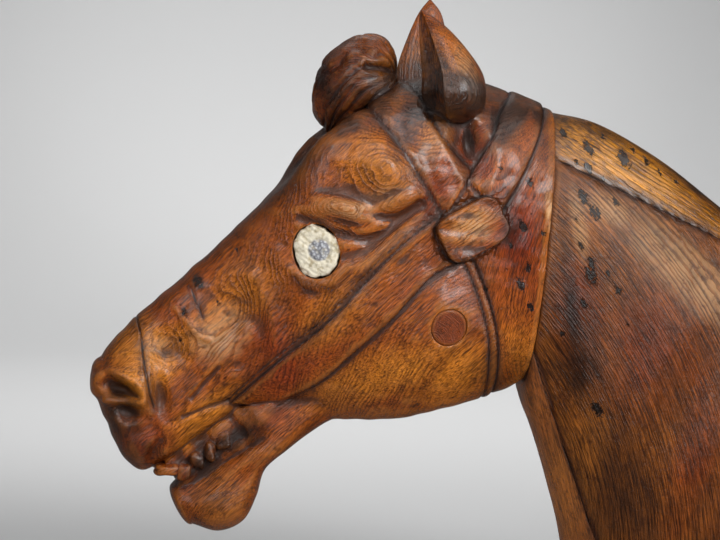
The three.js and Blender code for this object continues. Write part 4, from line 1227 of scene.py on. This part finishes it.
# The glue lines run on past both points of their joint.
neck_lines = [
    [(2 * a - c, 2 * b - d), (4 * c - 3 * a, 4 * d - 3 * b)]
    for (a, b), (c, d) in (CREST_JOINT, THROAT_JOINT)
]
add_hollows(neck_mesh)
add_zones(neck_mesh, NECK_ZONES, neck_lines + [HEAD_JOINT])
BOARD_GRAIN = {
    "neck_core": lambda x, y, z: bent_grain(x, 0.3 * y, z, (-420, 120), 450),
    "crest_board": lambda x, y, z: straight_grain(x, y, z, -33, (40, 250)),
    "throat_board": lambda x, y, z: straight_grain(x, y, z, -74, (-60, 200)),
}
BOARD_WOOD = {
    "neck_core": wood_material(
        "neck_wood", [(104, 56, 16), (138, 80, 26), (98, 40, 12), (32, 14, 6)],
        (1.7, 0.7, 14.0, 5.0), (0.7, 26.0), (0.9, 0.6, 1.0, 0.27), 0.6, (0.05, 0.3), 0.16),
    "crest_board": wood_material(
        "crest_wood", [(142, 88, 16), (172, 112, 24), (96, 44, 12), (40, 18, 8)],
        (2.4, 0.9, 8.0, 6.0), (0.9, 18.0), (0.9, 0.6, 1.0, 0.24), 0.65),
    "throat_board": wood_material(
        "throat_wood", [(146, 80, 28), (176, 104, 38), (130, 56, 18), (66, 32, 12)],
        (1.8, 0.7, 8.0, 6.0), (0.8, 20.0), (0.9, 0.6, 0.6, 0.3), 0.35),
}
BOARDS = {
    "neck_core": [(HEAD_JOINT, 1, 0.3), (CREST_JOINT, -1, 0.3), (THROAT_JOINT, 1, 0.3)],
    "crest_board": [(HEAD_JOINT, 1, 0.3), (CREST_JOINT, 1, 0)],
    "throat_board": [(HEAD_JOINT, 1, 0.3), (CREST_JOINT, -1, 1), (THROAT_JOINT, -1, 0)],
}
for node, cuts in BOARDS.items():
    board = linked(node + "_shaped", kept_part(neck_mesh, cuts))
    add_grain(board.data, BOARD_GRAIN[node])
    board.data.materials.append(BOARD_WOOD[node])
    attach(board, "root")
    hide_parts(node)

# ---------------------------------------------------------------------------- lights
# Two small soft boxes to the right of the camera, one low and one high, and a weaker one from
# the left. Spots behind the bust light the sweep alone.


def add_lamp(name, kind, place, aim, power):
    lamp = bpy.data.lights.new(name, kind)
    lamp.energy = power
    made = linked(name, lamp)
    made.location = place
    made.rotation_euler = (Vector(place) - Vector(aim)).to_track_quat("Z", "Y").to_euler()
    return made, lamp


def soft_box(name, place, size, power, aim=TARGET):
    made, lamp = add_lamp(name, "AREA", place, aim, power)
    lamp.shape = "RECTANGLE"
    lamp.size, lamp.size_y = size
    made.visible_camera = False


def spot(name, place, aim, angle, power):
    lamp = add_lamp(name, "SPOT", place, aim, power)[1]
    lamp.spot_size, lamp.spot_blend, lamp.shadow_soft_size = math.radians(angle), 1.0, 0.3


soft_box("low key", (0.73, -1.75, 1.18), (0.6, 0.6), 43)
soft_box("high key", (0.21, -1.31, 2.04), (0.6, 0.6), 15)
soft_box("left", (-1.49, -1.61, 1.5), (0.6, 0.8), 16)
soft_box("over the sweep", (0.2, 4.5, 4.5), (3.0, 3.0), 58, (0.2, 4.5, 0))
spot("floor glow", (0.0, 1.2, 3.0), (0.1, 3.0, 0.0), 100, 262)
spot("wall glow", (-0.2, 1.0, 0.9), (0.45, 7.5, 1.0), 42, 190)
spot("low wall glow", (0.1, 1.5, 1.5), (0.35, 6.0, 0.2), 60, 54)
world = bpy.data.worlds.new("room_glow")
world.use_nodes = True
world.node_tree.nodes["Background"].inputs["Color"].default_value = (0.95, 0.98, 1, 1)
world.node_tree.nodes["Background"].inputs["Strength"].default_value = 0.12
bpy.context.scene.world = world
bpy.context.scene.view_settings.view_transform = "Standard"
